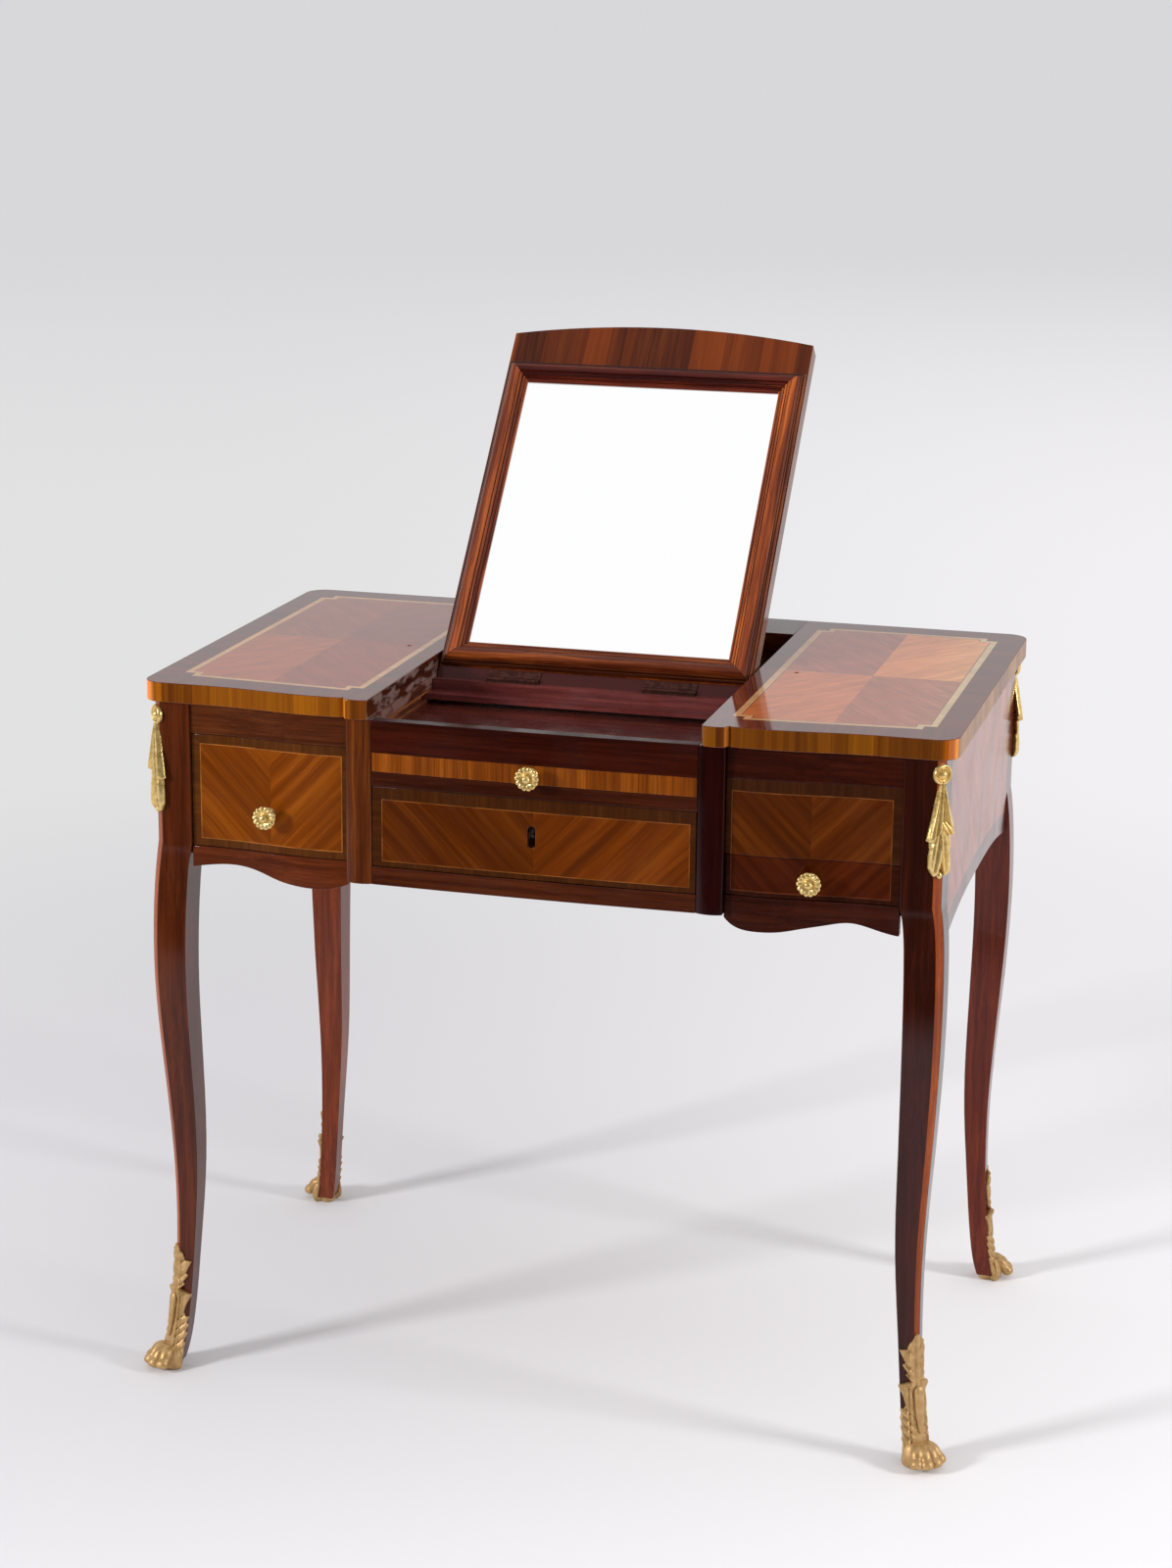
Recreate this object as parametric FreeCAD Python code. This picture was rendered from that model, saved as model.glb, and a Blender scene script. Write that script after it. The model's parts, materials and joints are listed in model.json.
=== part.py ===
import FreeCAD, Part
import math
import os

# A poudreuse: a small dressing table on four cabriole legs with gilt bronze feet.
# The middle of the top is a mirror panel that rises and slides forward on a batten.
# Two side lids cover wells, and the front holds a writing slide and three drawers.
# Millimetres, +Z up, origin on the floor under the middle of the whole piece.
# Most pieces are built for the right-hand side and mirrored to the left.

# Overall sizes
top_height = 740.0
top_thickness = 20.0
top_half_width = 407.5
case_depth = 490.5
well_half_width = 166.5
lid_back_radius = 22.0
lid_front_radius = 21.5
side_overhang = 11.0
back_overhang = 1.1

# Front line of the lids: steps forward from the corner post, and the wave between them
corner_overhang = 4.3
lid_slant = 7.6
front_wave = 2.6
wave_skew_share = 1.27
wave_points = 9
ear_proud = 5.6
ear_width = 22.5
ear_sag = 1.5
ear_rounding = 2.6
notch_half_width = 3.0
notch_depth = 2.6

# Carcase
post_size = 38.5
side_thickness = 16.0
back_thickness = 10.0
back_inset = 5.0
partition_thickness = 18.0
middle_offset = 4.25
stile_overlap = 3.0
stile_sag = 3.0
ear_overhang = 2.5
centre_sag = 2.5
centre_front_depth = 15.5
block_setback = 7.0
block_front_depth = 12.1
bottom_thickness = 6.0
runner_height = 5.0
runner_width = 14.0
side_edge_depth = 42.0
side_arch_depth = 25.0
side_arch_shoulder = 2.5
side_edge_rise_share = 0.25
side_edge_share = 0.5
back_edge_depth = 21.0

# Depths of the front pieces, from the under side of the top down
block_rail_depth = 31.0
centre_rail_depth = 32.0
slide_depth = 19.7
slide_rail_depth = 13.8
drawer_depth = 81.5
right_drawer_depth = 41.0
bottom_rail_depth = 19.0
left_apron_depths = (23.0, 28.6, 31.4, 30.5, 27.0, 20.0, 16.4, 17.9, 21.9)
right_apron_depths = (22.1, 32.0, 34.4, 32.7, 28.2, 23.6, 19.8, 24.4, 28.9)
apron_shares = (0.0, 0.08, 0.2, 0.33, 0.45, 0.58, 0.72, 0.86, 1.0)
front_gap = 0.5
front_recess = 1.0
seat_gap = 0.3
overrun = 5.0

# Cabriole legs: share of the way up to the knee, outward swell in X and in Y, size, chamfer
leg_foot_height = 6.0
leg_knee_rise = 2.0
leg_height_shares = (0.0, 0.0773, 0.2179, 0.3761, 0.5518, 0.7276, 0.9033, 1.0)
leg_swell_x = (7.4, 0.1, -5.1, -5.4, 0.2, 5.4, 5.3, 0.0)
leg_swell_y = (0.4, -7.6, -12.0, -10.5, -4.5, 4.0, 1.8, 0.0)
leg_sizes = (19.0, 19.5, 21.0, 26.5, 32.0, 36.0, 37.6, post_size)
leg_chamfers = (4.5, 4.5, 4.8, 5.2, 5.8, 6.5, 7.1, 7.5)

# Bronze feet
sabot_wall = 2.4
sabot_collar_height = 84.0
sabot_clasp_low = 5.0
sabot_clasp_high = 19.5
sabot_leaf_height = 137.0
sabot_leaf_half_width = 15.5
sabot_leaf_waist = 9.0
sabot_leaf_shoulder = 119.0
paw_heights = (0.0, 7.0, 16.0, 26.0, 36.0)
paw_tips = (32.5, 36.5, 34.0, 26.0, 17.5)
paw_clefts = (25.0, 28.5, 27.5, 23.0, 16.5)
paw_heels = (7.5, 8.5, 8.5, 8.0, 7.5)
paw_toe_angles = (-36.0, -12.0, 12.0, 36.0)
paw_toe_half_angle = 6.0
paw_cleft_angles = (-49.0, -24.0, 0.0, 24.0, 49.0)
paw_heel_angles = (135.0, 225.0)
paw_outer_toe_share = 0.94

# Bronze corner mounts: depths below the top, and below the disc for the drapery
mount_disc_depth = 13.5
mount_disc_radius = 9.5
mount_disc_proud = 3.6
mount_disc_lip = 1.4
mount_disc_boss_radius = 5.2
mount_sink = 1.5
drape_place_shares = (-1.0, -0.72, -0.4, 0.0, 0.4, 0.72, 1.0)
drape_fold_shares = (0.15, 0.85, 0.6, 1.0, 0.6, 0.85, 0.15)
drape_depths = (8.5, 34.5, 65.5, 81.5, 102.5)
drape_half_widths = (5.0, 9.5, 15.0, 10.5, 5.0)
drape_prouds = (3.2, 5.2, 6.6, 5.4, 3.0)

# Wells: depths of their floors below the top, and the deep well's above its drawer
tray_depth = 50.0
tray_board = 8.0
right_well_rise = 10.0
well_floor_thickness = 6.0
centre_well_depth = 25.0

# Rear strip of the top and the rail under it
rear_strip_depth = 75.3
strip_gap = 0.4
strip_side_gap = 0.3
cross_rail_inset = 16.2
cross_rail_depth = 18.0
cross_rail_height = 25.0

# Mirror panel, in its own lines: distance along it from the hinge axis, and from its face
mirror_travel = 211.0
mirror_lean = 41.0
panel_side_gap = 1.5
panel_arch = 14.7
panel_tail = 3.5
frame_start = 13.2
frame_end = 38.8
frame_side = 1.2
frame_bar = 25.8
frame_height = 12.0
frame_rebate = 6.0
frame_edge_height = 5.5
frame_lip_height = 6.6
frame_crown_in = 7.5
frame_crown_out = 15.5
frame_bead = 2.2
glass_thickness = 3.0
glass_bevel = 1.2
glass_gap = 0.3

# Sliding batten that carries the mirror panel
tongue_rise = 5.0
tongue_thickness = 6.3
tongue_reach = 5.0
tongue_front = 31.0
groove_depth = 6.0
groove_gap = 0.3
batten_front = 12.2
batten_side_gap = 1.0
bevel_gap = 0.3

# Butt hinges
barrel_radius = 2.4
pin_radius = 1.2
pin_clearance = 0.05
leaf_thickness = 1.3
leaf_gap = 0.1
leaf_reach = 11.0
barrel_room = 0.5
knuckle_gap = 0.25
knuckle_sides = 8
mirror_hinge_share = 0.5
mirror_hinge_length = 55.0
lid_hinge_front_inset = 61.0
lid_hinge_back_inset = 57.5
lid_hinge_length = 60.0
lid_hinge_out = 2.6

# Small pull hole in each side lid
pull_hole_inset = 39.5
pull_hole_y = -14.4
pull_hole_radius = 2.4
pull_hole_depth = 9.0

# Writing slide, and the room behind it
slide_board_rise = 2.7
slide_board_thickness = 14.0
slide_board_room = 120.0
slide_side_gap = 0.8

# Drawers, and the room over and behind their boxes
drawer_side = 8.0
drawer_bottom = 5.0
centre_drawer_room = 95.0
block_drawer_room = 63.4
centre_drawer_headroom = 15.5
left_drawer_headroom = 15.0
right_drawer_headroom = 11.0
drawer_guide_gap = 2.5

# Keyhole and lock in the middle drawer
keyhole_half_width = 3.9
keyhole_height = 22.0
keyhole_rise = 43.0
lock_width = 56.0
lock_height = 44.0
lock_depth = 9.0
lock_pin_radius = 1.5

# Rosette knobs
knob_radius = 12.0
knob_reach = 22.0
knob_stem_radius = 4.0
knob_foot_radius = 6.5
knob_foot_depth = 2.5
knob_head_depth = 9.0
knob_boss_radius = 3.6
knob_boss_height = 2.0
knob_dish = 2.2
knob_petals = 14
knob_cleft_share = 0.88
knob_left_rise = 40.3
knob_right_rise = 20.7
knob_slide_rise = 10.2

# Half a length, a right angle and a full turn
half_share = 0.5
right_angle = 90.0
full_turn = 360.0

# Places from side to side, worked out from the sizes above
case_half_width = top_half_width - side_overhang
post_inner = case_half_width - post_size
side_inner = case_half_width - side_thickness
ear_outer = well_half_width + ear_width
stile_inner = well_half_width - stile_overlap
stile_outer = ear_outer + front_gap
partition_outer = well_half_width + partition_thickness
wave_outer = top_half_width - lid_front_radius
wave_inner = ear_outer + notch_half_width + notch_half_width
block_middle = (stile_outer + post_inner) * half_share
panel_half_width = well_half_width - panel_side_gap
frame_half_width = panel_half_width - frame_side
batten_half_width = well_half_width - batten_side_gap
mirror_hinge_place = panel_half_width * mirror_hinge_share
pull_hole_x = well_half_width + pull_hole_inset

# Heights
top_low = top_height - top_thickness
block_rail_low = top_low - block_rail_depth
centre_rail_low = top_low - centre_rail_depth
slide_rail_high = centre_rail_low - slide_depth
slide_rail_low = slide_rail_high - slide_rail_depth
drawer_floor = slide_rail_low - drawer_depth
false_panel_low = drawer_floor + right_drawer_depth
centre_rail_bottom = drawer_floor - bottom_rail_depth
side_edge_low = drawer_floor - side_edge_depth
side_edge_high = drawer_floor - side_arch_depth
back_edge_height = drawer_floor - back_edge_depth
bottom_high = drawer_floor - runner_height
bottom_low = bottom_high - bottom_thickness
leg_knee_height = drawer_floor + leg_knee_rise
leg_run = leg_knee_height - leg_foot_height
leg_heights = [leg_foot_height + leg_run * share for share in leg_height_shares]
mount_disc_height = top_low - mount_disc_depth
tray_floor = top_low - tray_depth
right_well_floor = false_panel_low + right_well_rise
centre_well_floor = top_low - centre_well_depth
tongue_low = centre_well_floor + tongue_rise
slide_board_low = slide_rail_high + slide_board_rise
centre_drawer_height = drawer_depth - centre_drawer_headroom
left_drawer_high = tray_floor - well_floor_thickness - left_drawer_headroom
left_drawer_height = left_drawer_high - drawer_floor
right_drawer_high = right_well_floor - well_floor_thickness - right_drawer_headroom
right_drawer_height = right_drawer_high - drawer_floor
keyhole_centre = drawer_floor + keyhole_rise
knob_left_height = drawer_floor + knob_left_rise
knob_right_height = drawer_floor + knob_right_rise
knob_slide_height = slide_rail_high + knob_slide_rise

# Places from front to back
post_front = case_depth * half_share + middle_offset
post_back = case_depth * half_share - middle_offset
lid_corner_front = post_front + corner_overhang
lid_inner_front = lid_corner_front + lid_slant
ear_front = lid_inner_front + ear_proud
stile_front = ear_front - ear_overhang
centre_front = stile_front
centre_back = centre_front - centre_front_depth
rail_back = post_front - block_front_depth
drawer_front_back = rail_back + front_gap
post_front_inner = post_front - post_size
post_back_inner = post_back - post_size
back_outer = post_back - back_inset
back_inner = back_outer - back_thickness
top_back = post_back + back_overhang
strip_front = top_back - rear_strip_depth
cross_rail_front = strip_front + cross_rail_inset
hinge_closed = strip_front - strip_gap - panel_tail
hinge_rest = hinge_closed - mirror_travel
panel_length = hinge_closed + ear_front - notch_depth
panel_thickness = top_thickness - seat_gap
frame_length = panel_length - frame_start - frame_end
hinge_axis_height = top_low + seat_gap - leaf_gap - leaf_thickness
hinge_raised_angle = right_angle + mirror_lean
lid_hinge_places = (
    lid_hinge_front_inset - post_front_inner,
    post_back_inner - lid_hinge_back_inset,
)
slide_board_length = centre_back + back_inner - slide_board_room
centre_drawer_length = centre_back + back_inner - centre_drawer_room
block_drawer_length = rail_back + back_inner - block_drawer_room


def point(x, y, z):
    return FreeCAD.Vector(x, y, z)


across = point(1, 0, 0)
deep = point(0, 1, 0)
up = point(0, 0, 1)
floor_centre = point(0, 0, 0)


def box(x_low, x_high, y_low, y_high, z_low, z_high):
    """A board between two corners."""
    corner = point(x_low, y_low, z_low)
    return Part.makeBox(x_high - x_low, y_high - y_low, z_high - z_low, corner)


def mirrored(shape):
    """The same piece on the left-hand side."""
    return shape.mirror(floor_centre, across)


def outline(edges, height, thickness):
    """A flat outline drawn on the floor, lifted and given a thickness."""
    face = Part.Face(Part.Wire(edges))
    solid = face.extrude(up * thickness)
    solid.translate(up * height)
    return solid


def path(points):
    """Straight edges through the points."""
    pairs = zip(points[:-1], points[1:])
    return [Part.makeLine(start, end) for start, end in pairs]


def curve(points):
    """One smooth edge through the points."""
    spline = Part.BSplineCurve()
    spline.interpolate(points)
    return spline.toShape()


def arc(start, middle, end):
    """An arc through three points."""
    return Part.Arc(start, middle, end).toShape()


def serpentine(x):
    """How far forward the lids' wavy front line lies at a distance from the middle."""
    share = (wave_outer - x) / (wave_outer - wave_inner)
    share = min(max(share, 0.0), 1.0)
    base = lid_corner_front + (lid_inner_front - lid_corner_front) * share
    turn = math.radians(full_turn) * share ** wave_skew_share
    return base - front_wave * math.sin(turn)


def serpentine_edge(outer, inner, setback=0.0):
    """The wavy edge between two places, set back from its line."""
    steps = range(wave_points)
    places = [outer + (inner - outer) * step / (wave_points - 1) for step in steps]
    return curve([point(x, setback - serpentine(x), 0) for x in places])


def bowed_board(inner, outer, low, high, back, setback=block_setback):
    """A board of the side blocks: serpentine in front and flat behind."""
    front = serpentine_edge(outer, inner, setback)
    sides = path([
        point(inner, setback - serpentine(inner), 0),
        point(inner, -back, 0),
        point(outer, -back, 0),
        point(outer, setback - serpentine(outer), 0),
    ])
    return outline([front] + sides, low, high - low)


def centre_board(half_width, low, high, back, setback=0.0):
    """A board of the middle: slightly bowed in front and flat behind."""
    edge = setback - centre_front + centre_sag
    front = arc(
        point(-half_width, edge, 0),
        point(0, setback - centre_front, 0),
        point(half_width, edge, 0),
    )
    sides = path([
        point(half_width, edge, 0),
        point(half_width, -back, 0),
        point(-half_width, -back, 0),
        point(-half_width, edge, 0),
    ])
    return outline([front] + sides, low, high - low)


# Legs

def leg_section(height, swell_x, swell_y, size, chamfer, corner_y, grow=0.0):
    """A square section with its outer corner cut off; corner_y is the post's outer face."""
    turn = math.copysign(1.0, corner_y)
    outer_x = case_half_width + swell_x + grow
    outer_y = abs(corner_y) + swell_y + grow
    inner_x = outer_x - size - grow - grow
    inner_y = outer_y - size - grow - grow
    corners = [
        point(inner_x, turn * inner_y, height),
        point(outer_x, turn * inner_y, height),
        point(outer_x, turn * (outer_y - chamfer), height),
        point(outer_x - chamfer, turn * outer_y, height),
        point(inner_x, turn * outer_y, height),
    ]
    return Part.Wire(path(corners + corners[:1]))


def leg(corner_y):
    """A cabriole leg and the corner post above it, in one piece."""
    rows = zip(leg_heights, leg_swell_x, leg_swell_y, leg_sizes, leg_chamfers)
    sections = [leg_section(*row, corner_y) for row in rows]
    shank = Part.makeLoft(sections, True, False)
    foot = leg_section(leg_heights[-1], 0, 0, post_size, leg_chamfers[-1], corner_y)
    post = Part.Face(foot).extrude(up * (top_low - leg_heights[-1]))
    return shank.fuse(post).removeSplitter()


front_leg = leg(-post_front)
back_leg = leg(post_back)


# Bronze feet

def sabot_sleeve(corner_y):
    """The casting that clasps the end of the leg, before the leg is taken out."""
    rows = list(zip(leg_heights, leg_swell_x, leg_swell_y, leg_sizes, leg_chamfers))
    sections = [leg_section(*row, corner_y, sabot_wall) for row in rows[:4]]
    sleeve = Part.makeLoft(sections, True, False)
    base = leg_section(0, leg_swell_x[0], leg_swell_y[0], leg_sizes[0],
                       leg_chamfers[0], corner_y, sabot_wall)
    plate = Part.Face(base).extrude(up * leg_heights[0])
    return sleeve.fuse(plate)


def foot_centre(corner_y):
    """The middle of the leg's lowest section, on the floor."""
    turn = math.copysign(1.0, corner_y)
    half = leg_sizes[0] * half_share
    centre_x = case_half_width + leg_swell_x[0] - half
    centre_y = abs(corner_y) + leg_swell_y[0] - half
    return point(centre_x, turn * centre_y, 0)


def leaf_mask(corner_y):
    """The space of the collar, which clasps the outer faces only, and of the leaf above."""
    centre = foot_centre(corner_y)
    heading = math.copysign(right_angle * half_share, corner_y)
    reach = post_size + post_size
    collar_points = [
        point(reach, -reach, 0),
        point(-sabot_clasp_low, -reach, 0),
        point(-sabot_clasp_high, -reach, sabot_collar_height),
        point(reach, -reach, sabot_collar_height),
    ]
    collar = Part.Face(Part.Wire(path(collar_points + collar_points[:1])))
    collar = collar.extrude(deep * (reach + reach))
    collar.rotate(floor_centre, up, heading)
    collar.translate(centre)
    leaf_points = [
        point(0, -sabot_leaf_waist, sabot_collar_height),
        point(0, -sabot_leaf_half_width, sabot_leaf_shoulder),
        point(0, 0, sabot_leaf_height),
        point(0, sabot_leaf_half_width, sabot_leaf_shoulder),
        point(0, sabot_leaf_waist, sabot_collar_height),
    ]
    face = Part.Face(Part.Wire(path(leaf_points + leaf_points[:1])))
    leaf = face.extrude(across * reach)
    leaf.rotate(floor_centre, up, heading)
    leaf.translate(centre - point(leg_sizes[0], math.copysign(leg_sizes[0], corner_y), 0)
                   * half_share)
    return collar.fuse(leaf)


def polar(radius, angle, height):
    """A point at a distance and heading from the middle of the foot."""
    turn = math.radians(angle)
    return point(radius * math.cos(turn), radius * math.sin(turn), height)


def toe(height, tip, angle):
    """The blunt end of a toe: the outer toes stop a little short of the middle ones."""
    reach = tip * (paw_outer_toe_share if abs(angle) > paw_cleft_angles[-2] else 1.0)
    return [polar(reach, angle + side * paw_toe_half_angle, height) for side in (-1, 1)]


def paw_section(height, tip, cleft, heel):
    """One level of the paw: four blunt toes in front and a straight heel."""
    rim = [polar(cleft, paw_cleft_angles[0], height)]
    for toe_angle, cleft_angle in zip(paw_toe_angles, paw_cleft_angles[1:]):
        rim += toe(height, tip, toe_angle) + [polar(cleft, cleft_angle, height)]
    rim += [polar(heel, angle, height) for angle in paw_heel_angles]
    return Part.Wire(path(rim + rim[:1]))


def paw(corner_y):
    """A lion's paw of four toes, flat on the floor."""
    rows = zip(paw_heights, paw_tips, paw_clefts, paw_heels)
    whole = Part.makeLoft([paw_section(*row) for row in rows], True, True)
    whole.rotate(floor_centre, up, math.copysign(right_angle * half_share, corner_y))
    whole.translate(foot_centre(corner_y))
    return whole


def sabot(corner_y, leg_shape):
    """The bronze foot: paw, collar and leaf, hollow for the leg."""
    sleeve = sabot_sleeve(corner_y).common(leaf_mask(corner_y))
    whole = sleeve.fuse(paw(corner_y)).cut(leg_shape)
    solids = sorted(whole.Solids, key=lambda solid: solid.Volume)
    return solids[-1]


# Bronze corner mounts

def mount_axes(corner_y):
    """The middle of the post's cut corner, and the way it faces."""
    turn = math.copysign(1.0, corner_y)
    back = leg_chamfers[-1] * half_share
    centre = point(case_half_width - back, corner_y - turn * back, 0)
    return centre, point(1, turn, 0).normalize()


def drape_section(height, half_width, proud, centre, facing):
    """One level of the drapery: folds in and out across the corner of the case."""
    tangent = up.cross(facing)
    middle = centre + up * height
    sunk = middle - facing * mount_sink
    points = [
        middle + tangent * (half_width * share) + facing * (proud * fold)
        for share, fold in zip(drape_place_shares, drape_fold_shares)
    ]
    ends = [sunk + tangent * half_width, sunk - tangent * half_width]
    return Part.Wire(path(ends[1:] + points + ends))


def corner_mount(corner_y, leg_shape):
    """A ringed disc and the folded drapery that hangs from it."""
    centre, facing = mount_axes(corner_y)
    rows = zip(drape_depths, drape_half_widths, drape_prouds)
    sections = [
        drape_section(mount_disc_height - depth, half_width, proud, centre, facing)
        for depth, half_width, proud in rows
    ]
    drape = Part.makeLoft(sections, True, True)
    seat = centre + up * mount_disc_height - facing * mount_sink
    proud = mount_sink + mount_disc_proud
    disc = Part.makeCylinder(mount_disc_radius, proud - mount_disc_lip, seat, facing)
    boss = Part.makeCone(mount_disc_boss_radius, mount_disc_lip, proud, seat, facing)
    return drape.fuse([disc, boss]).cut(leg_shape)


# Carcase

def side_panel():
    """A side of the case, with its lower edge arched between the legs."""
    board = box(side_inner, case_half_width, -post_front_inner, post_back_inner,
                side_edge_low, top_low)
    length = post_front_inner + post_back_inner
    middle = post_back_inner - length * side_edge_share
    rise = length * side_edge_rise_share
    arch = curve([
        point(0, -post_front_inner, side_edge_low),
        point(0, middle - rise, side_edge_high - side_arch_shoulder),
        point(0, middle, side_edge_high),
        point(0, middle + rise, side_edge_high - side_arch_shoulder),
        point(0, post_back_inner, side_edge_low),
    ])
    ends = path([
        point(0, post_back_inner, side_edge_low),
        point(0, post_back_inner, side_edge_low - overrun),
        point(0, -post_front_inner, side_edge_low - overrun),
        point(0, -post_front_inner, side_edge_low),
    ])
    under = Part.Face(Part.Wire([arch] + ends)).extrude(across * top_half_width)
    return board.cut([under, hinge_mortises(), front_leg, back_leg])


def partition():
    """A wall of the middle well, grooved for the sliding batten."""
    board = box(well_half_width, partition_outer, -centre_back, back_inner,
                bottom_low, top_low)
    groove = box(0, well_half_width + groove_depth, -centre_back, cross_rail_front,
                 tongue_low - groove_gap, tongue_low + tongue_thickness + groove_gap)
    return board.cut(groove)


def stile():
    """A rounded upright between the middle and a side block."""
    middle = (stile_inner + stile_outer) * half_share
    edge = stile_front - stile_sag
    front = arc(
        point(stile_inner, -edge, 0),
        point(middle, -stile_front, 0),
        point(stile_outer, -edge, 0),
    )
    sides = path([
        point(stile_outer, -edge, 0),
        point(stile_outer, -centre_back, 0),
        point(stile_inner, -centre_back, 0),
        point(stile_inner, -edge, 0),
    ])
    return outline([front] + sides, centre_rail_bottom, top_low - centre_rail_bottom)


def block_board(low, high):
    """A fixed front piece of a side block, from the stile to the corner post."""
    return bowed_board(stile_outer, post_inner, low, high, rail_back)


def apron(depths):
    """The shaped rail under a side block, drawn for the right-hand side."""
    low = drawer_floor - max(depths)
    board = block_board(low, drawer_floor)
    run = post_inner - stile_outer
    shape_points = [
        point(stile_outer + run * share, 0, drawer_floor - depth)
        for share, depth in zip(apron_shares, depths)
    ]
    under_height = low - overrun
    ends = path([
        shape_points[-1],
        point(post_inner, 0, under_height),
        point(stile_outer, 0, under_height),
        shape_points[0],
    ])
    under = Part.Face(Part.Wire([curve(shape_points)] + ends))
    under = under.extrude(deep * -top_half_width)
    return board.cut(under)


def notched(board):
    """A board of a side bay with its corners cut round the corner posts."""
    return board.cut([front_leg, back_leg])


def bay_board(high, thickness):
    """A level board that fills a side bay behind the front pieces."""
    return notched(box(partition_outer, side_inner, -rail_back, back_inner,
                       high - thickness, high))


def left_tray():
    """The shallow well over the tall drawer: a floor and the board in front of it."""
    floor = bay_board(tray_floor, well_floor_thickness)
    wall = notched(box(partition_outer, side_inner, -rail_back, tray_board - rail_back,
                       tray_floor, top_low))
    return Part.makeCompound([mirrored(floor), mirrored(wall)])


def runners():
    """Strips on the case bottom, and under the slide, that carry what slides."""
    centre_run = box(well_half_width - runner_width, well_half_width, -centre_back,
                     centre_drawer_length - centre_back, bottom_high, drawer_floor)
    inner_run = box(partition_outer, partition_outer + runner_width, -rail_back,
                    block_drawer_length - rail_back, bottom_high, drawer_floor)
    outer_run = box(post_inner - runner_width, post_inner, -rail_back,
                    block_drawer_length - rail_back, bottom_high, drawer_floor)
    right = [centre_run, inner_run, outer_run]
    return Part.makeCompound(right + [mirrored(strip) for strip in right])


def slide_runners():
    """Two strips on the partitions that carry the writing slide."""
    strip = box(well_half_width - runner_width, well_half_width, -centre_back,
                slide_board_length - centre_back, slide_rail_low + runner_width * half_share,
                slide_board_low - seat_gap)
    return Part.makeCompound([strip, mirrored(strip)])


def rear_strip():
    """The fixed strip of the top behind the mirror panel."""
    side = well_half_width - strip_side_gap
    return box(-side, side, strip_front, top_back, top_low, top_height)


# Side lids

def lid():
    """The right-hand lid: rounded outer corners, serpentine front and a small ear."""
    back_inner_x = top_half_width - lid_back_radius
    slant = lid_back_radius * (1.0 - math.sqrt(half_share))
    front_slant = lid_front_radius * (1.0 - math.sqrt(half_share))
    shoulder = lid_corner_front - lid_front_radius
    notch_x = wave_inner - notch_half_width
    notch_y = notch_depth - lid_inner_front
    ear_edge = ear_sag - ear_front
    edges = path([
        point(well_half_width, ear_rounding + ear_edge, 0),
        point(well_half_width, top_back, 0),
        point(back_inner_x, top_back, 0),
    ])
    edges.append(arc(
        point(back_inner_x, top_back, 0),
        point(top_half_width - slant, top_back - slant, 0),
        point(top_half_width, top_back - lid_back_radius, 0),
    ))
    edges += path([
        point(top_half_width, top_back - lid_back_radius, 0),
        point(top_half_width, -shoulder, 0),
    ])
    edges.append(arc(
        point(top_half_width, -shoulder, 0),
        point(top_half_width - front_slant, front_slant - lid_corner_front, 0),
        point(wave_outer, -lid_corner_front, 0),
    ))
    edges.append(serpentine_edge(wave_outer, wave_inner))
    edges += path([
        point(wave_inner, -lid_inner_front, 0),
        point(notch_x, notch_y, 0),
        point(ear_outer, ear_edge, 0),
    ])
    edges.append(arc(
        point(ear_outer, ear_edge, 0),
        point((ear_outer + well_half_width) * half_share, -ear_front, 0),
        point(well_half_width + ear_rounding, ear_edge, 0),
    ))
    edges += path([
        point(well_half_width + ear_rounding, ear_edge, 0),
        point(well_half_width, ear_rounding + ear_edge, 0),
    ])
    board = outline(edges, top_low, top_thickness)
    hole = Part.makeCylinder(pull_hole_radius, pull_hole_depth + overrun,
                             point(pull_hole_x, pull_hole_y, top_height - pull_hole_depth))
    return board.cut(hole).cut(hinge_mortises())


# Butt hinges, drawn closed: the pin lies along X at the origin, leaves reach forward

def knuckles(length, places):
    """The barrel's knuckles at the given thirds of its length."""
    third = length / 3
    rings = []
    for place in places:
        start = third * place - length * half_share + knuckle_gap * half_share
        sides = range(knuckle_sides)
        turns = [2 * math.pi * (side + half_share) / knuckle_sides for side in sides]
        rim = [point(start, barrel_radius * math.cos(turn), barrel_radius * math.sin(turn))
               for turn in turns]
        face = Part.Face(Part.Wire(path(rim + rim[:1])))
        rings.append(face.extrude(across * (third - knuckle_gap)))
    return rings


def leaf_plate(length, low, relief_places):
    """A flat leaf, cut away beside the other leaf's knuckles."""
    third = length / 3
    room = barrel_radius + barrel_room
    plate = box(-length * half_share, length * half_share, -leaf_reach, 0,
                low, low + leaf_thickness)
    for place in relief_places:
        start = third * place - length * half_share
        plate = plate.cut(box(start, start + third, -room, 0, -room, room))
    return plate


def fixed_leaf(length):
    """The leaf below, with two knuckles and the pin between them."""
    third = length / 3
    pin = Part.makeCylinder(pin_radius, third + knuckle_gap,
                            point(-(third + knuckle_gap) * half_share, 0, 0), across)
    plate = leaf_plate(length, -leaf_gap - leaf_thickness, (1,))
    return plate.fuse(knuckles(length, (0, 2)) + [pin])


def moving_leaf(length):
    """The leaf above, with the middle knuckle, bored for the pin."""
    plate = leaf_plate(length, leaf_gap, (0, 2))
    leaf = plate.fuse(knuckles(length, (1,)))
    bore = Part.makeCylinder(pin_radius + pin_clearance, length,
                             point(-length * half_share, 0, 0), across)
    return leaf.cut(bore)


def on_lid(shape, place):
    """A hinge piece turned to lie along the right-hand lid's outer edge."""
    placed = shape.copy()
    placed.rotate(floor_centre, up, -right_angle)
    placed.translate(point(case_half_width + lid_hinge_out, place, top_low))
    return placed


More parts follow.
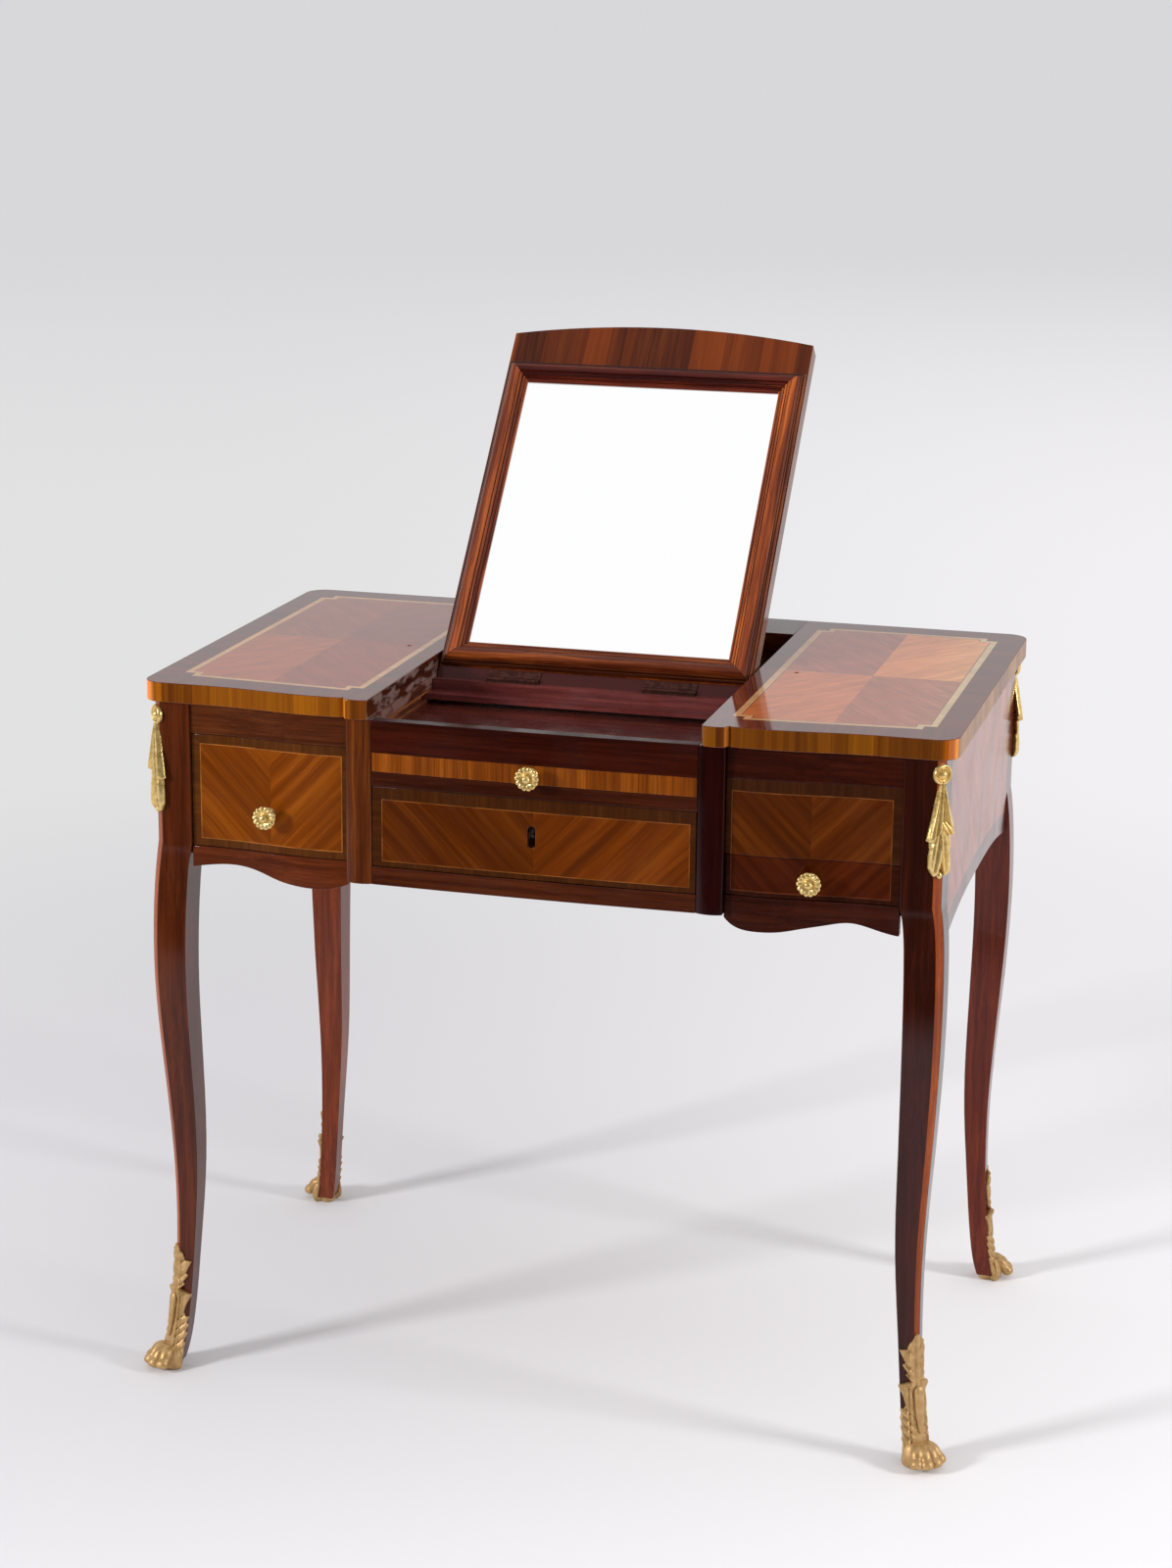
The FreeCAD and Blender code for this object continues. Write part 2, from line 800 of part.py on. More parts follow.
def hinge_mortises():
    """The recesses for the lid hinges, in the lid and in the side panel."""
    room = leaf_gap + leaf_thickness
    barrel_half = barrel_radius + barrel_room
    half = lid_hinge_length * half_share
    cuts = []
    for place in lid_hinge_places:
        barrel = box(-half, half, -barrel_half, barrel_half, -barrel_half, barrel_half)
        plate = box(-half, half, -leaf_reach, 0, -room, room)
        cuts.append(on_lid(barrel.fuse(plate), place))
    return Part.makeCompound(cuts)


def lid_leaves(leaf_shape):
    """One kind of leaf at both places along the lid."""
    return [on_lid(leaf_shape, place) for place in lid_hinge_places]


def mirror_leaves(leaf_shape):
    """One kind of leaf at both places along the mirror's hinge line."""
    leaves = []
    for side in (-1, 1):
        placed = leaf_shape.copy()
        placed.translate(across * (side * mirror_hinge_place))
        leaves.append(placed)
    return leaves


# Mirror panel, drawn closed about its hinge axis: it reaches forward and faces down

def raised(shape):
    """Turn a closed piece of the panel up to where it leans at rest."""
    placed = shape.copy()
    placed.rotate(floor_centre, across, -hinge_raised_angle)
    placed.translate(point(0, hinge_rest, hinge_axis_height))
    return placed


def barrel_grooves():
    """Room for the hinge barrels in the panel and in the batten."""
    cuts = []
    half = mirror_hinge_length * half_share
    room = barrel_radius + barrel_room
    for side in (-1, 1):
        middle = side * mirror_hinge_place
        cuts.append(box(middle - half, middle + half, -room, room, -room, room))
    return Part.makeCompound(cuts)


def mirror_board():
    """The lid of the middle well, with its free end arched."""
    low = leaf_gap + leaf_thickness
    front = arc(
        point(-panel_half_width, -panel_length, 0),
        point(0, -panel_length - panel_arch, 0),
        point(panel_half_width, -panel_length, 0),
    )
    sides = path([
        point(panel_half_width, -panel_length, 0),
        point(panel_half_width, panel_tail, 0),
        point(-panel_half_width, panel_tail, 0),
        point(-panel_half_width, -panel_length, 0),
    ])
    board = outline([front] + sides, low, panel_thickness)
    return raised(board.cut(barrel_grooves()))


def frame_section():
    """The moulding: outer step, crown, hollow and bead, with a rebate for the glass."""
    top = frame_height
    bead_start = frame_bar - frame_bead
    outer = path([point(0, 0, 0), point(0, 0, frame_edge_height)])
    cove = arc(
        point(0, 0, frame_edge_height),
        point(0, frame_crown_in * half_share * half_share,
              (frame_edge_height + top + top) / 3),
        point(0, frame_crown_in, top),
    )
    crown = path([point(0, frame_crown_in, top), point(0, frame_crown_out, top)])
    hollow = arc(
        point(0, frame_crown_out, top),
        point(0, (frame_crown_out + bead_start) * half_share,
              (top + frame_lip_height) * half_share - frame_bead * half_share),
        point(0, bead_start, frame_lip_height),
    )
    inner = path([
        point(0, bead_start, frame_lip_height),
        point(0, frame_bar, frame_lip_height),
        point(0, frame_bar, glass_thickness + glass_gap),
        point(0, frame_bar - frame_rebate, glass_thickness + glass_gap),
        point(0, frame_bar - frame_rebate, 0),
        point(0, 0, 0),
    ])
    return Part.Face(Part.Wire(outer + [cove] + crown + [hollow] + inner))


def frame_bar_piece(length):
    """One bar of the frame along X, mitred at both ends, its outer edge on Y = 0."""
    half = length * half_share
    bar = frame_section().extrude(across * length)
    bar.translate(across * -half)
    for side in (-1, 1):
        wedge = Part.Face(Part.Wire(path([
            point(side * half, 0, 0),
            point(side * (half - frame_bar), frame_bar, 0),
            point(side * half, frame_bar, 0),
            point(side * half, 0, 0),
        ]))).extrude(up * frame_height)
        bar = bar.cut(wedge)
    return bar


def mirror_frame():
    """Four mitred bars round the glass, on the panel's face."""
    width = frame_half_width + frame_half_width
    sizes = (width, frame_length, width, frame_length)
    middle = frame_length * half_share
    offsets = (middle, frame_half_width, middle, frame_half_width)
    bars = []
    for turn, (length, offset) in enumerate(zip(sizes, offsets)):
        bar = frame_bar_piece(length)
        bar.translate(deep * -offset)
        bar.rotate(floor_centre, up, right_angle * turn)
        bar.rotate(floor_centre, deep, right_angle + right_angle)
        bar.translate(point(0, -frame_start - middle, leaf_gap + leaf_thickness))
        bars.append(raised(bar))
    return Part.makeCompound(bars)


def mirror_glass():
    """The bevelled plate in the frame's rebate."""
    margin = frame_bar - frame_rebate + glass_gap
    half = frame_half_width - margin
    start = frame_start + margin
    end = frame_start + frame_length - margin
    top = leaf_gap + leaf_thickness - glass_gap * half_share
    plate = box(-half, half, -end, -start, top - glass_thickness, top)
    low = plate.BoundBox.ZMin
    rim = [edge for edge in plate.Edges
           if edge.BoundBox.ZMax < low + glass_gap]
    return raised(plate.makeChamfer(glass_bevel, rim))


def slider():
    """The batten and its tongue board in one piece, bevelled behind to stop the panel."""
    low = tongue_low - hinge_axis_height
    tongue_high = low + tongue_thickness
    batten_high = -leaf_gap - leaf_thickness
    behind = panel_length
    tongue_half = well_half_width + tongue_reach
    tongue = box(-tongue_half, tongue_half, -tongue_front, behind, low, tongue_high)
    batten = box(-batten_half_width, batten_half_width, -batten_front, behind,
                 tongue_high, batten_high)
    room = box(-top_half_width, top_half_width, panel_tail + bevel_gap, top_half_width,
               -top_half_width, top_half_width)
    room.rotate(floor_centre, across, -hinge_raised_angle)
    whole = tongue.fuse(batten).common(room).cut(barrel_grooves()).removeSplitter()
    whole.translate(point(0, hinge_rest, hinge_axis_height))
    return whole


# Writing slide, drawers and knobs

def rosette_section(radius, depth):
    """A ring of petals seen from the front: points in and out by turns."""
    corners = []
    for index in range(knob_petals + knob_petals):
        reach = radius if index % 2 == 0 else radius * knob_cleft_share
        angle = math.pi * index / knob_petals
        corners.append(point(reach * math.cos(angle), -depth, reach * math.sin(angle)))
    return Part.Wire(path(corners + corners[:1]))


def knob(x, front, height):
    """A rosette knob: foot, stem and a head of petals round a boss."""
    head = knob_reach - knob_head_depth
    profile = [
        point(0, 0, 0),
        point(knob_foot_radius, 0, 0),
        point(knob_stem_radius, -knob_foot_depth, 0),
        point(knob_stem_radius, -head - knob_dish, 0),
        point(0, -head - knob_dish, 0),
    ]
    stem = Part.Face(Part.Wire(path(profile + profile[:1]))).revolve(floor_centre, deep,
                                                                full_turn)
    petals = Part.makeLoft([
        rosette_section(knob_stem_radius + knob_dish, head),
        rosette_section(knob_radius, knob_reach - knob_dish - knob_boss_height),
        rosette_section(knob_boss_radius + knob_dish, knob_reach - knob_boss_height),
    ], True, True)
    boss = Part.makeCone(knob_boss_radius, knob_boss_radius * half_share,
                         knob_boss_height + knob_dish,
                         point(0, knob_boss_height + knob_dish - knob_reach, 0), -deep)
    body = stem.fuse([petals, boss])
    body.translate(point(x, -front, height))
    return body


def drawer_box(half_low, half_high, front, length, height):
    """Two sides, a back and a bottom, as four boards that meet face to face."""
    low = drawer_floor + seat_gap
    high = low + height
    back = length - front
    board_low = low + drawer_bottom
    boards = [
        box(half_low, half_high, -front, back, low, board_low),
        box(half_low, half_low + drawer_side, -front, back, board_low, high),
        box(half_high - drawer_side, half_high, -front, back, board_low, high),
        box(half_low + drawer_side, half_high - drawer_side, back - drawer_side, back,
            board_low, high),
    ]
    return Part.makeCompound(boards)


def block_drawer_front(high):
    """The veneered front of a drawer in a side block."""
    return bowed_board(stile_outer + front_gap, post_inner - front_gap,
                       drawer_floor + front_gap, high, drawer_front_back,
                       block_setback + front_recess)


def keyhole():
    """The upright slot through the middle drawer's front."""
    half = keyhole_height * half_share - keyhole_half_width
    slot = box(-keyhole_half_width, keyhole_half_width, -centre_front - overrun,
               -centre_back + overrun, keyhole_centre - half, keyhole_centre + half)
    for side in (-1, 1):
        start = point(0, -centre_front - overrun, keyhole_centre + side * half)
        depth = centre_front - centre_back + overrun + overrun
        slot = slot.fuse(Part.makeCylinder(keyhole_half_width, depth, start, deep))
    return slot


def lock():
    """The lock behind the keyhole, with the pin that the key fits over."""
    half = lock_width * half_share
    low = keyhole_centre - lock_height * half_share
    case = box(-half, half, -centre_back, lock_depth - centre_back, low, low + lock_height)
    pin = Part.makeCylinder(lock_pin_radius, lock_depth,
                            point(0, -centre_back - lock_depth, keyhole_centre), deep)
    return case.fuse(pin)


# Making the nodes

def front_knob(place, height, drawer_front):
    """A knob on the wavy front of a side block."""
    front = serpentine(block_middle) - block_setback - front_recess
    return knob(place, front, height).cut(drawer_front)


left_front = mirrored(block_drawer_front(block_rail_low - front_gap))
right_front = block_drawer_front(false_panel_low - front_gap)
left_knob = front_knob(-block_middle, knob_left_height, left_front)
right_knob = front_knob(block_middle, knob_right_height, right_front)
back_reach = paw(post_back).optimalBoundingBox().YMax
depth_shift = (centre_front + knob_reach - back_reach) * half_share


def export(name, shape):
    """Write one node, moved so that the origin lies under the middle of the table."""
    placed = shape.copy()
    placed.translate(deep * depth_shift)
    placed.exportStep("parts/" + name + ".step")


def export_pair(name, shape):
    """Write a piece and its twin on the other side."""
    export(name + "_right", shape)
    export(name + "_left", mirrored(shape))


def make_corners():
    """Legs, feet and corner mounts."""
    for name, corner_y, leg_shape in (
        ("front", -post_front, front_leg),
        ("back", post_back, back_leg),
    ):
        export_pair("leg_" + name, leg_shape)
        export_pair("sabot_" + name, sabot(corner_y, leg_shape))
        export_pair("corner_mount_" + name, corner_mount(corner_y, leg_shape))


def make_case():
    """The fixed boards of the case."""
    export_pair("side_panel", side_panel())
    export_pair("partition", partition())
    export_pair("stile", stile())
    export_pair("block_top_rail", block_board(block_rail_low, top_low))
    export("apron_left", mirrored(apron(left_apron_depths)))
    export("apron_right", apron(right_apron_depths))
    export("false_panel_right", block_board(false_panel_low, block_rail_low))
    export("back_panel", box(-post_inner, post_inner, back_inner, back_outer,
                             back_edge_height, top_low))
    export("centre_top_rail", centre_board(stile_inner, centre_rail_low, top_low, centre_back))
    export("slide_rail", centre_board(stile_inner, slide_rail_low, slide_rail_high,
                                      centre_back))
    export("centre_bottom_rail", centre_board(stile_inner, centre_rail_bottom,
                                              drawer_floor - front_gap, centre_back))
    export_pair("bottom_board", bay_board(bottom_high, bottom_thickness))
    export("bottom_board_centre", box(-well_half_width, well_half_width, -centre_back,
                                      back_inner, bottom_low, bottom_high))
    export("drawer_runners", runners())
    export("slide_runners", slide_runners())
    export("left_tray", left_tray())
    export("right_well_floor", bay_board(right_well_floor, well_floor_thickness))
    export("centre_well_floor", box(-well_half_width, well_half_width, -centre_back,
                                    back_inner, centre_well_floor - well_floor_thickness,
                                    centre_well_floor))
    export("rear_cross_rail", box(-well_half_width, well_half_width, cross_rail_front,
                                  cross_rail_front + cross_rail_depth,
                                  top_low - cross_rail_height, top_low))
    export("rear_strip", rear_strip())


def make_lids():
    """Side lids and their hinges."""
    export_pair("lid", lid())
    case_leaves = lid_leaves(fixed_leaf(lid_hinge_length))
    case_leaves += [mirrored(leaf) for leaf in case_leaves]
    export("lid_hinge_case_leaves", Part.makeCompound(case_leaves))
    export_pair("lid_hinge_leaves",
                Part.makeCompound(lid_leaves(moving_leaf(lid_hinge_length))))


def make_mirror():
    """The mirror panel, the batten that slides under it, and their hinges."""
    export("mirror_board", mirror_board())
    export("mirror_frame", mirror_frame())
    export("mirror_glass", mirror_glass())
    at_rest = point(0, hinge_rest, hinge_axis_height)
    export("mirror_slider", slider())
    batten_leaves = Part.makeCompound(mirror_leaves(fixed_leaf(mirror_hinge_length)))
    batten_leaves.translate(at_rest)
    export("mirror_hinge_batten_leaves", batten_leaves)
    panel_leaves = Part.makeCompound(mirror_leaves(moving_leaf(mirror_hinge_length)))
    export("mirror_hinge_panel_leaves", raised(panel_leaves))


def make_slide():
    """The writing slide."""
    half = stile_inner - slide_side_gap
    export("slide_board", box(-half, half, -centre_back, slide_board_length - centre_back,
                              slide_board_low, slide_board_low + slide_board_thickness))
    export("slide_front", centre_board(half, slide_rail_high + seat_gap,
                                       centre_rail_low - seat_gap, centre_back))
    export("slide_knob", knob(0, centre_front, knob_slide_height))


def make_drawers():
    """The three drawers."""
    half = stile_inner - slide_side_gap
    front = centre_board(half, drawer_floor, slide_rail_low - front_gap, centre_back,
                         front_recess)
    export("centre_drawer_front", front.cut(keyhole()))
    box_half = half - drawer_guide_gap
    export("centre_drawer_box", drawer_box(-box_half, box_half, centre_back,
                                           centre_drawer_length - overrun,
                                           centre_drawer_height))
    export("centre_drawer_lock", lock())
    low = stile_outer + drawer_guide_gap
    high = post_inner - drawer_guide_gap
    length = block_drawer_length - overrun
    export("left_drawer_front", left_front)
    export("left_drawer_box", mirrored(drawer_box(low, high, drawer_front_back, length,
                                                  left_drawer_height)))
    export("left_drawer_knob", left_knob)
    export("right_drawer_front", right_front)
    export("right_drawer_box", drawer_box(low, high, drawer_front_back, length,
                                          right_drawer_height))
    export("right_drawer_knob", right_knob)


os.makedirs("parts", exist_ok=True)
make_corners()
make_case()
make_lids()
make_mirror()
make_slide()
make_drawers()
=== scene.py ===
import json
import math
import bmesh
import bpy
import numpy as np
from mathutils import Matrix, Vector


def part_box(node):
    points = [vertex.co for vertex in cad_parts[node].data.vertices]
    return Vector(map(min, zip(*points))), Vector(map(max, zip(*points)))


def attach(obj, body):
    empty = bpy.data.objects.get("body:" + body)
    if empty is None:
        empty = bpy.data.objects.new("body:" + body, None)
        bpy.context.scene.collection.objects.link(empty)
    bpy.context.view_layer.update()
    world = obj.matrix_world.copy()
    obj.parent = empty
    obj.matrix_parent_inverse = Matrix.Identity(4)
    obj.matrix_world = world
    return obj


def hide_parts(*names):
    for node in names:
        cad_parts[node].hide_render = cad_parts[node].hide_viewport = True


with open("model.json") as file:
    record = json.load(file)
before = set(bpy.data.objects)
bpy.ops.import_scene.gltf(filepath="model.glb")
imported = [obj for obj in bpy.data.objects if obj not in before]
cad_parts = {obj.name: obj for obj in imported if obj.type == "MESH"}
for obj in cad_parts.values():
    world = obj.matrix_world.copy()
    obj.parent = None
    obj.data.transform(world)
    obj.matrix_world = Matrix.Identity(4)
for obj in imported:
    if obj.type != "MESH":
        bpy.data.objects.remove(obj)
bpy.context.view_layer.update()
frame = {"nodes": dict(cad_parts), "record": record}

# A poudreuse dressing table: veneered boards, gilt bronze feet, mounts and knobs, and a
# mirror that rises from the middle of the top. Metres throughout, -Y towards the sitter.

scene = bpy.context.scene
nodes = frame["nodes"]
mm = 0.001
print("frame loaded:", len(nodes), "pieces")


# Values in a material: arithmetic on them adds Math nodes to the tree in hand

making = {}


class Value:
    def __init__(self, socket):
        self.socket = socket

    def __add__(self, other):
        return calc("ADD", self, other)

    def __sub__(self, other):
        return calc("SUBTRACT", self, other)

    def __rsub__(self, other):
        return calc("SUBTRACT", other, self)

    def __mul__(self, other):
        return calc("MULTIPLY", self, other)

    def __truediv__(self, other):
        return calc("DIVIDE", self, other)

    def __abs__(self):
        return calc("ABSOLUTE", self)

    __radd__, __rmul__ = __add__, __mul__


def srgb(colour):
    # from 0 to 255 to linear light: small shares over 12.92, others to the power 2.4
    share = np.asarray(colour, float) / 255.0
    linear = np.where(share <= 0.04045, share / 12.92, ((share + 0.055) / 1.055) ** 2.4)
    return (*linear.tolist(), 1.0)


def feed(socket, value):
    # an input takes a value, a number, a vector or a colour from 0 to 255
    if isinstance(value, Value):
        making["tree"].links.new(value.socket, socket)
    elif isinstance(value, tuple):
        wide = len(socket.default_value)
        socket.default_value = srgb(value) if wide == 4 and len(value) == 3 else value
    else:
        socket.default_value = value


def add(kind, inputs=(), **settings):
    # a node of the tree in hand; inputs go by name or number in a dict, or in their order
    made = making["tree"].nodes.new("ShaderNode" + kind)
    for key, value in settings.items():
        setattr(made, key, value)
    for key, value in inputs.items() if isinstance(inputs, dict) else enumerate(inputs):
        feed(made.inputs[key], value)
    return made


def output(made):
    return Value(made.outputs[0])


def calc(operation, *values):
    return output(add("Math", values, operation=operation))


def above(value, level):
    return calc("GREATER_THAN", value, level)


def below(value, level):
    return calc("LESS_THAN", value, level)


def largest(*values):
    total = values[0]
    for value in values[1:]:
        total = calc("MAXIMUM", total, value)
    return total


def vector(x, y, z):
    return output(add("CombineXYZ", (x, y, z)))


def split(value):
    return [Value(socket) for socket in add("SeparateXYZ", [value]).outputs]


def stretched(value, *scales):
    return output(add("VectorMath", [value, scales], operation="MULTIPLY"))


def noise(value, scale=1.0, detail=3.0, rough=0.5, warp=0.0):
    return output(add("TexNoise", {"Vector": value, "Scale": scale, "Detail": detail,
                                   "Roughness": rough, "Distortion": warp}))


def cells(value, scale):
    # a random level from 0 to 1 for each cell along a line
    made = add("TexVoronoi", {"W": value, "Scale": scale}, voronoi_dimensions="1D")
    return split(Value(made.outputs["Color"]))[0]


def between(value, low, high, outLow=0.0, outHigh=1.0):
    # a smooth step from outLow to outHigh while the value goes from low to high
    return output(add("MapRange", {"Value": value, "From Min": low, "From Max": high,
                                   "To Min": outLow, "To Max": outHigh},
                      interpolation_type="SMOOTHSTEP"))


def blended(factor, colour, other, mode="MIX"):
    made = add("Mix", {0: factor, 6: colour, 7: other}, data_type="RGBA", blend_type=mode)
    return Value(made.outputs[2])


def shaded(colour, red, green=None, blue=None):
    # the colour times a level, or times a level for each channel
    return blended(1.0, colour, vector(red, green or red, blue or red), "MULTIPLY")


def ramp(value, stops):
    made = add("ValToRGB", [value])
    elements = made.color_ramp.elements
    while len(elements) < len(stops):
        elements.new(0.5)
    for element, (place, colour) in zip(elements, stops):
        element.position = place
        element.color = srgb(colour)
    return output(made)


def objectPlace(centre=(0, 0, 0), turn=(0, 0, 0)):
    # object coordinates, turned about the origin and then moved so that centre is zero
    coordinates = Value(add("TexCoord").outputs["Object"])
    return output(add("Mapping", {"Vector": coordinates, "Rotation": turn,
                                  "Location": tuple(-c for c in centre)}))


def objectNormal():
    # the three shares of the surface's direction
    return split(Value(add("TexCoord").outputs["Normal"]))


def newTree(owner):
    # from here on nodes go into the tree of this material or world
    owner.use_nodes = True
    making["tree"] = owner.node_tree
    owner.node_tree.nodes.clear()
    return owner


def newMaterial(name):
    return newTree(bpy.data.materials.new(name))


def begin(name):
    # a new material, with the place on the piece and its three coordinates
    material = newMaterial(name)
    place = objectPlace()
    return material, place, *split(place)


def closeMaterial(colour, roughness, height=None, depth=0.0001, metallic=0.0, specular=0.5,
                  glow=0.0, tint=(255, 255, 255)):
    # a surface with small bumps: depth is how far the height stands out, in metres
    inputs = {"Base Color": colour, "Roughness": roughness, "Metallic": metallic,
              "Specular IOR Level": specular, "Specular Tint": tint,
              "Emission Color": (255, 255, 255), "Emission Strength": glow}
    if height is not None:
        bump = add("Bump", {"Distance": depth, "Strength": 0.6, "Height": height})
        inputs["Normal"] = output(bump)
    add("OutputMaterial", [output(add("BsdfPrincipled", inputs))])


# Woods: three tones, and how many streaks and fibres there are to the metre

woods = {
    "rosewood": dict(tones=((47, 17, 6), (61, 25, 10), (76, 34, 15)), streaks=150, along=4,
                     fibres=1000, pores=0.35),
    "redwood": dict(tones=((52, 18, 5), (73, 30, 10), (96, 46, 16)), streaks=150, along=4,
                    fibres=900, pores=0.35),
    "tulip": dict(tones=((90, 41, 4), (108, 52, 7), (127, 67, 13)), streaks=130, along=4,
                  fibres=1300, pores=0.2),
    "satin": dict(tones=((134, 73, 44), (144, 80, 48), (154, 88, 54)), streaks=170, along=9,
                  fibres=1000, pores=0.1),
    "olive": dict(tones=((54, 28, 9), (62, 33, 11), (71, 40, 14)), streaks=200, along=7,
                  fibres=1300, pores=0.25),
    "mahogany": dict(tones=((56, 17, 6), (98, 42, 15), (146, 74, 28)), streaks=150, along=3,
                     fibres=800, pores=0.4),
    "oak": dict(tones=((82, 54, 32), (118, 82, 52), (146, 106, 70)), streaks=60, along=3,
                fibres=700, pores=0.6),
}
figure = dict(drift=(7, 12, 12), sway=0.012, streakShare=0.46, fibreShare=0.26, cloudShare=0.28,
              cloud=(5, 30, 30), toneFrom=0.36, toneTo=0.66, pores=(60, 1500, 1500),
              poreFrom=0.6, poreTo=0.72, fibreHeight=0.35)
polish = dict(low=0.09, high=0.18, scale=26.0, tint=(255, 236, 244))    # roughness and tint


def grain(place, wood, seed):
    # streaks, fibres and pores run along the first axis of place; returns colour and height
    values = woods[wood]
    x, y, z = split(place)
    moved = vector(x, y + seed, z)
    wander = noise(stretched(moved, *figure["drift"]), detail=2.0)
    wavy = vector(x, wander * figure["sway"] + (y + seed), z)

    def lines(along, across):
        return noise(stretched(wavy, along, across, across), detail=2.0, rough=0.6)

    streaks = lines(values["along"], values["streaks"])
    fibres = lines(values["along"] * 6, values["fibres"])
    cloud = noise(stretched(moved, *figure["cloud"]), detail=2.0)
    level = (streaks * figure["streakShare"] + fibres * figure["fibreShare"]
             + cloud * figure["cloudShare"])
    dark, middle, light = values["tones"]
    colour = ramp(between(level, figure["toneFrom"], figure["toneTo"]),
                  ((0.0, dark), (0.5, middle), (1.0, light)))
    holes = noise(stretched(wavy, *figure["pores"]), detail=1.0)
    pores = between(holes, figure["poreFrom"], figure["poreTo"], 0.0, values["pores"])
    colour = blended(pores, colour, tuple(c * 0.5 for c in dark))
    return colour, fibres * figure["fibreHeight"] - pores


def tone(place, wood, seed):
    # the grain's colour alone
    return grain(place, wood, seed)[0]


def polished(place, more=1.0):
    # a roughness that wanders between low and high, times more
    return between(noise(place, scale=polish["scale"]), 0.3, 0.7, polish["low"] * more,
                   polish["high"] * more)


def plainWood(name, wood, axis, seed=0.0, more=1.0, shade=(1.0, 1.0, 1.0), specular=0.3):
    # one veneer whose grain runs along X, Y or Z of the piece
    material, place, x, y, z = begin(name)
    order = {"X": (x, y, z), "Y": (y, x, z), "Z": (z, x, y)}[axis]
    colour, height = grain(vector(*order), wood, seed)
    closeMaterial(shaded(colour, *shade), polished(place, more), height, specular=specular,
                  tint=polish["tint"])
    return material


# Marquetry on the drawer fronts: a banded border, a fine string and a field that opens in a V

fronts = dict(string=0.9 * mm, slant=math.radians(46), stringTone=(150, 92, 42),
              stripes=55, stripeTone=(70, 30, 8), stripeShare=0.4, band=(1.35, 1.3, 1.35))


def bandedField(across, height, halfWidth, halfHeight, seed, lift=0.0):
    # across and height are measured from the middle of the string's rectangle; the field's
    # grain leans by slant on either side of the middle
    x = abs(across)
    side = calc("SIGN", across)
    cosine, sine = math.cos(fronts["slant"]), math.sin(fronts["slant"])
    along = x * cosine + height * sine
    cross = height * cosine - x * sine
    shift = side * 0.013
    field, relief = grain(vector(along, cross, shift), "tulip", seed)
    field = shaded(field, side * lift + 1.0)
    bands = noise(vector(cross * fronts["stripes"], seed, shift), detail=2.0)
    banded = between(bands, 0.48, 0.66, 0.0, fronts["stripeShare"])
    field = blended(banded, field, fronts["stripeTone"])
    xGap = x - halfWidth
    zGap = abs(height) - halfHeight
    bandAlong = blended(above(xGap, zGap), vector(height, across, 0.0), vector(across, height, 0.0))
    band = shaded(tone(bandAlong, "olive", seed + 0.7), *fronts["band"])
    gap = largest(xGap, zGap)
    onString = below(abs(gap), fronts["string"] / 2)
    mottled = noise(vector(across, height, seed), scale=45.0)
    string = shaded(fronts["stringTone"], between(mottled, 0.35, 0.6, 0.55, 1.0))
    colour = blended(onString, blended(above(gap, 0.0), field, band), string)
    return colour, onString * 0.3 + relief


def frontMaterial(name, rectangle, seed, lift, shade):
    # the string's rectangle: left, right, low and high, in millimetres
    x0, x1, z0, z1 = (edge * mm for edge in rectangle)
    material, place, x, y, z = begin(name)
    colour, relief = bandedField(x - (x0 + x1) / 2, z - (z0 + z1) / 2, (x1 - x0) / 2,
                                 (z1 - z0) / 2, seed, lift)
    closeMaterial(shaded(colour, *shade), polished(place), relief, specular=0.3,
                  tint=polish["tint"])
    return material


# The top: dark border, pale string with stepped corners, quartered field, banded edge

top = dict(string=7.2 * mm, line=0.6 * mm, notch=12 * mm, inner=186 * mm, outer=380 * mm,
           front=218.5 * mm, lead=6.5 * mm, slope=0.076, back=219.5 * mm, centreY=4.6 * mm,
           stringTone=(188, 142, 96), lineTone=(122, 70, 36), border=(2.0, 1.15, 0.8),
           scuffTone=(120, 96, 90))
quarters = {                                     # levels: front and back, inner and outer; partly the veneer's own tone, partly painted light and reflection
    -1: dict(frontIn=(0.9, 0.6, 0.7), frontOut=(1.2, 0.96, 0.8), backIn=(0.8, 0.66, 0.98),
             backOut=(0.9, 0.76, 1.0)),
    1: dict(frontIn=(1.75, 1.6, 1.15), frontOut=(1.2, 1.1, 1.25), backIn=(1.15, 0.98, 1.35),
            backOut=(2.2, 2.4, 1.55)),
}
banding = dict(share=0.6, lines=900,
               blocks=(38.0, 170.0, ((0.12, (74, 36, 4)), (0.35, (112, 62, 7)),
                                     (0.65, (136, 80, 10)), (0.9, (158, 94, 12)))))


def blocks(place, coarse, fine, stops):
    # cross-banding: broad blocks of veneer, each with narrower strips in it
    return ramp(cells(place, coarse) * 0.72 + cells(place, fine) * 0.28, stops)


def stripes(along, height, seed):
    # blocks and fine lines laid over the veneer
    fine = tone(vector(height, along, 0.0), "tulip", seed)
    lines = noise(vector(along * banding["lines"], height, seed))
    tint = shaded(blocks(along + seed, *banding["blocks"]), between(lines, 0.3, 0.65, 0.72, 1.1))
    return blended(banding["share"], fine, tint)


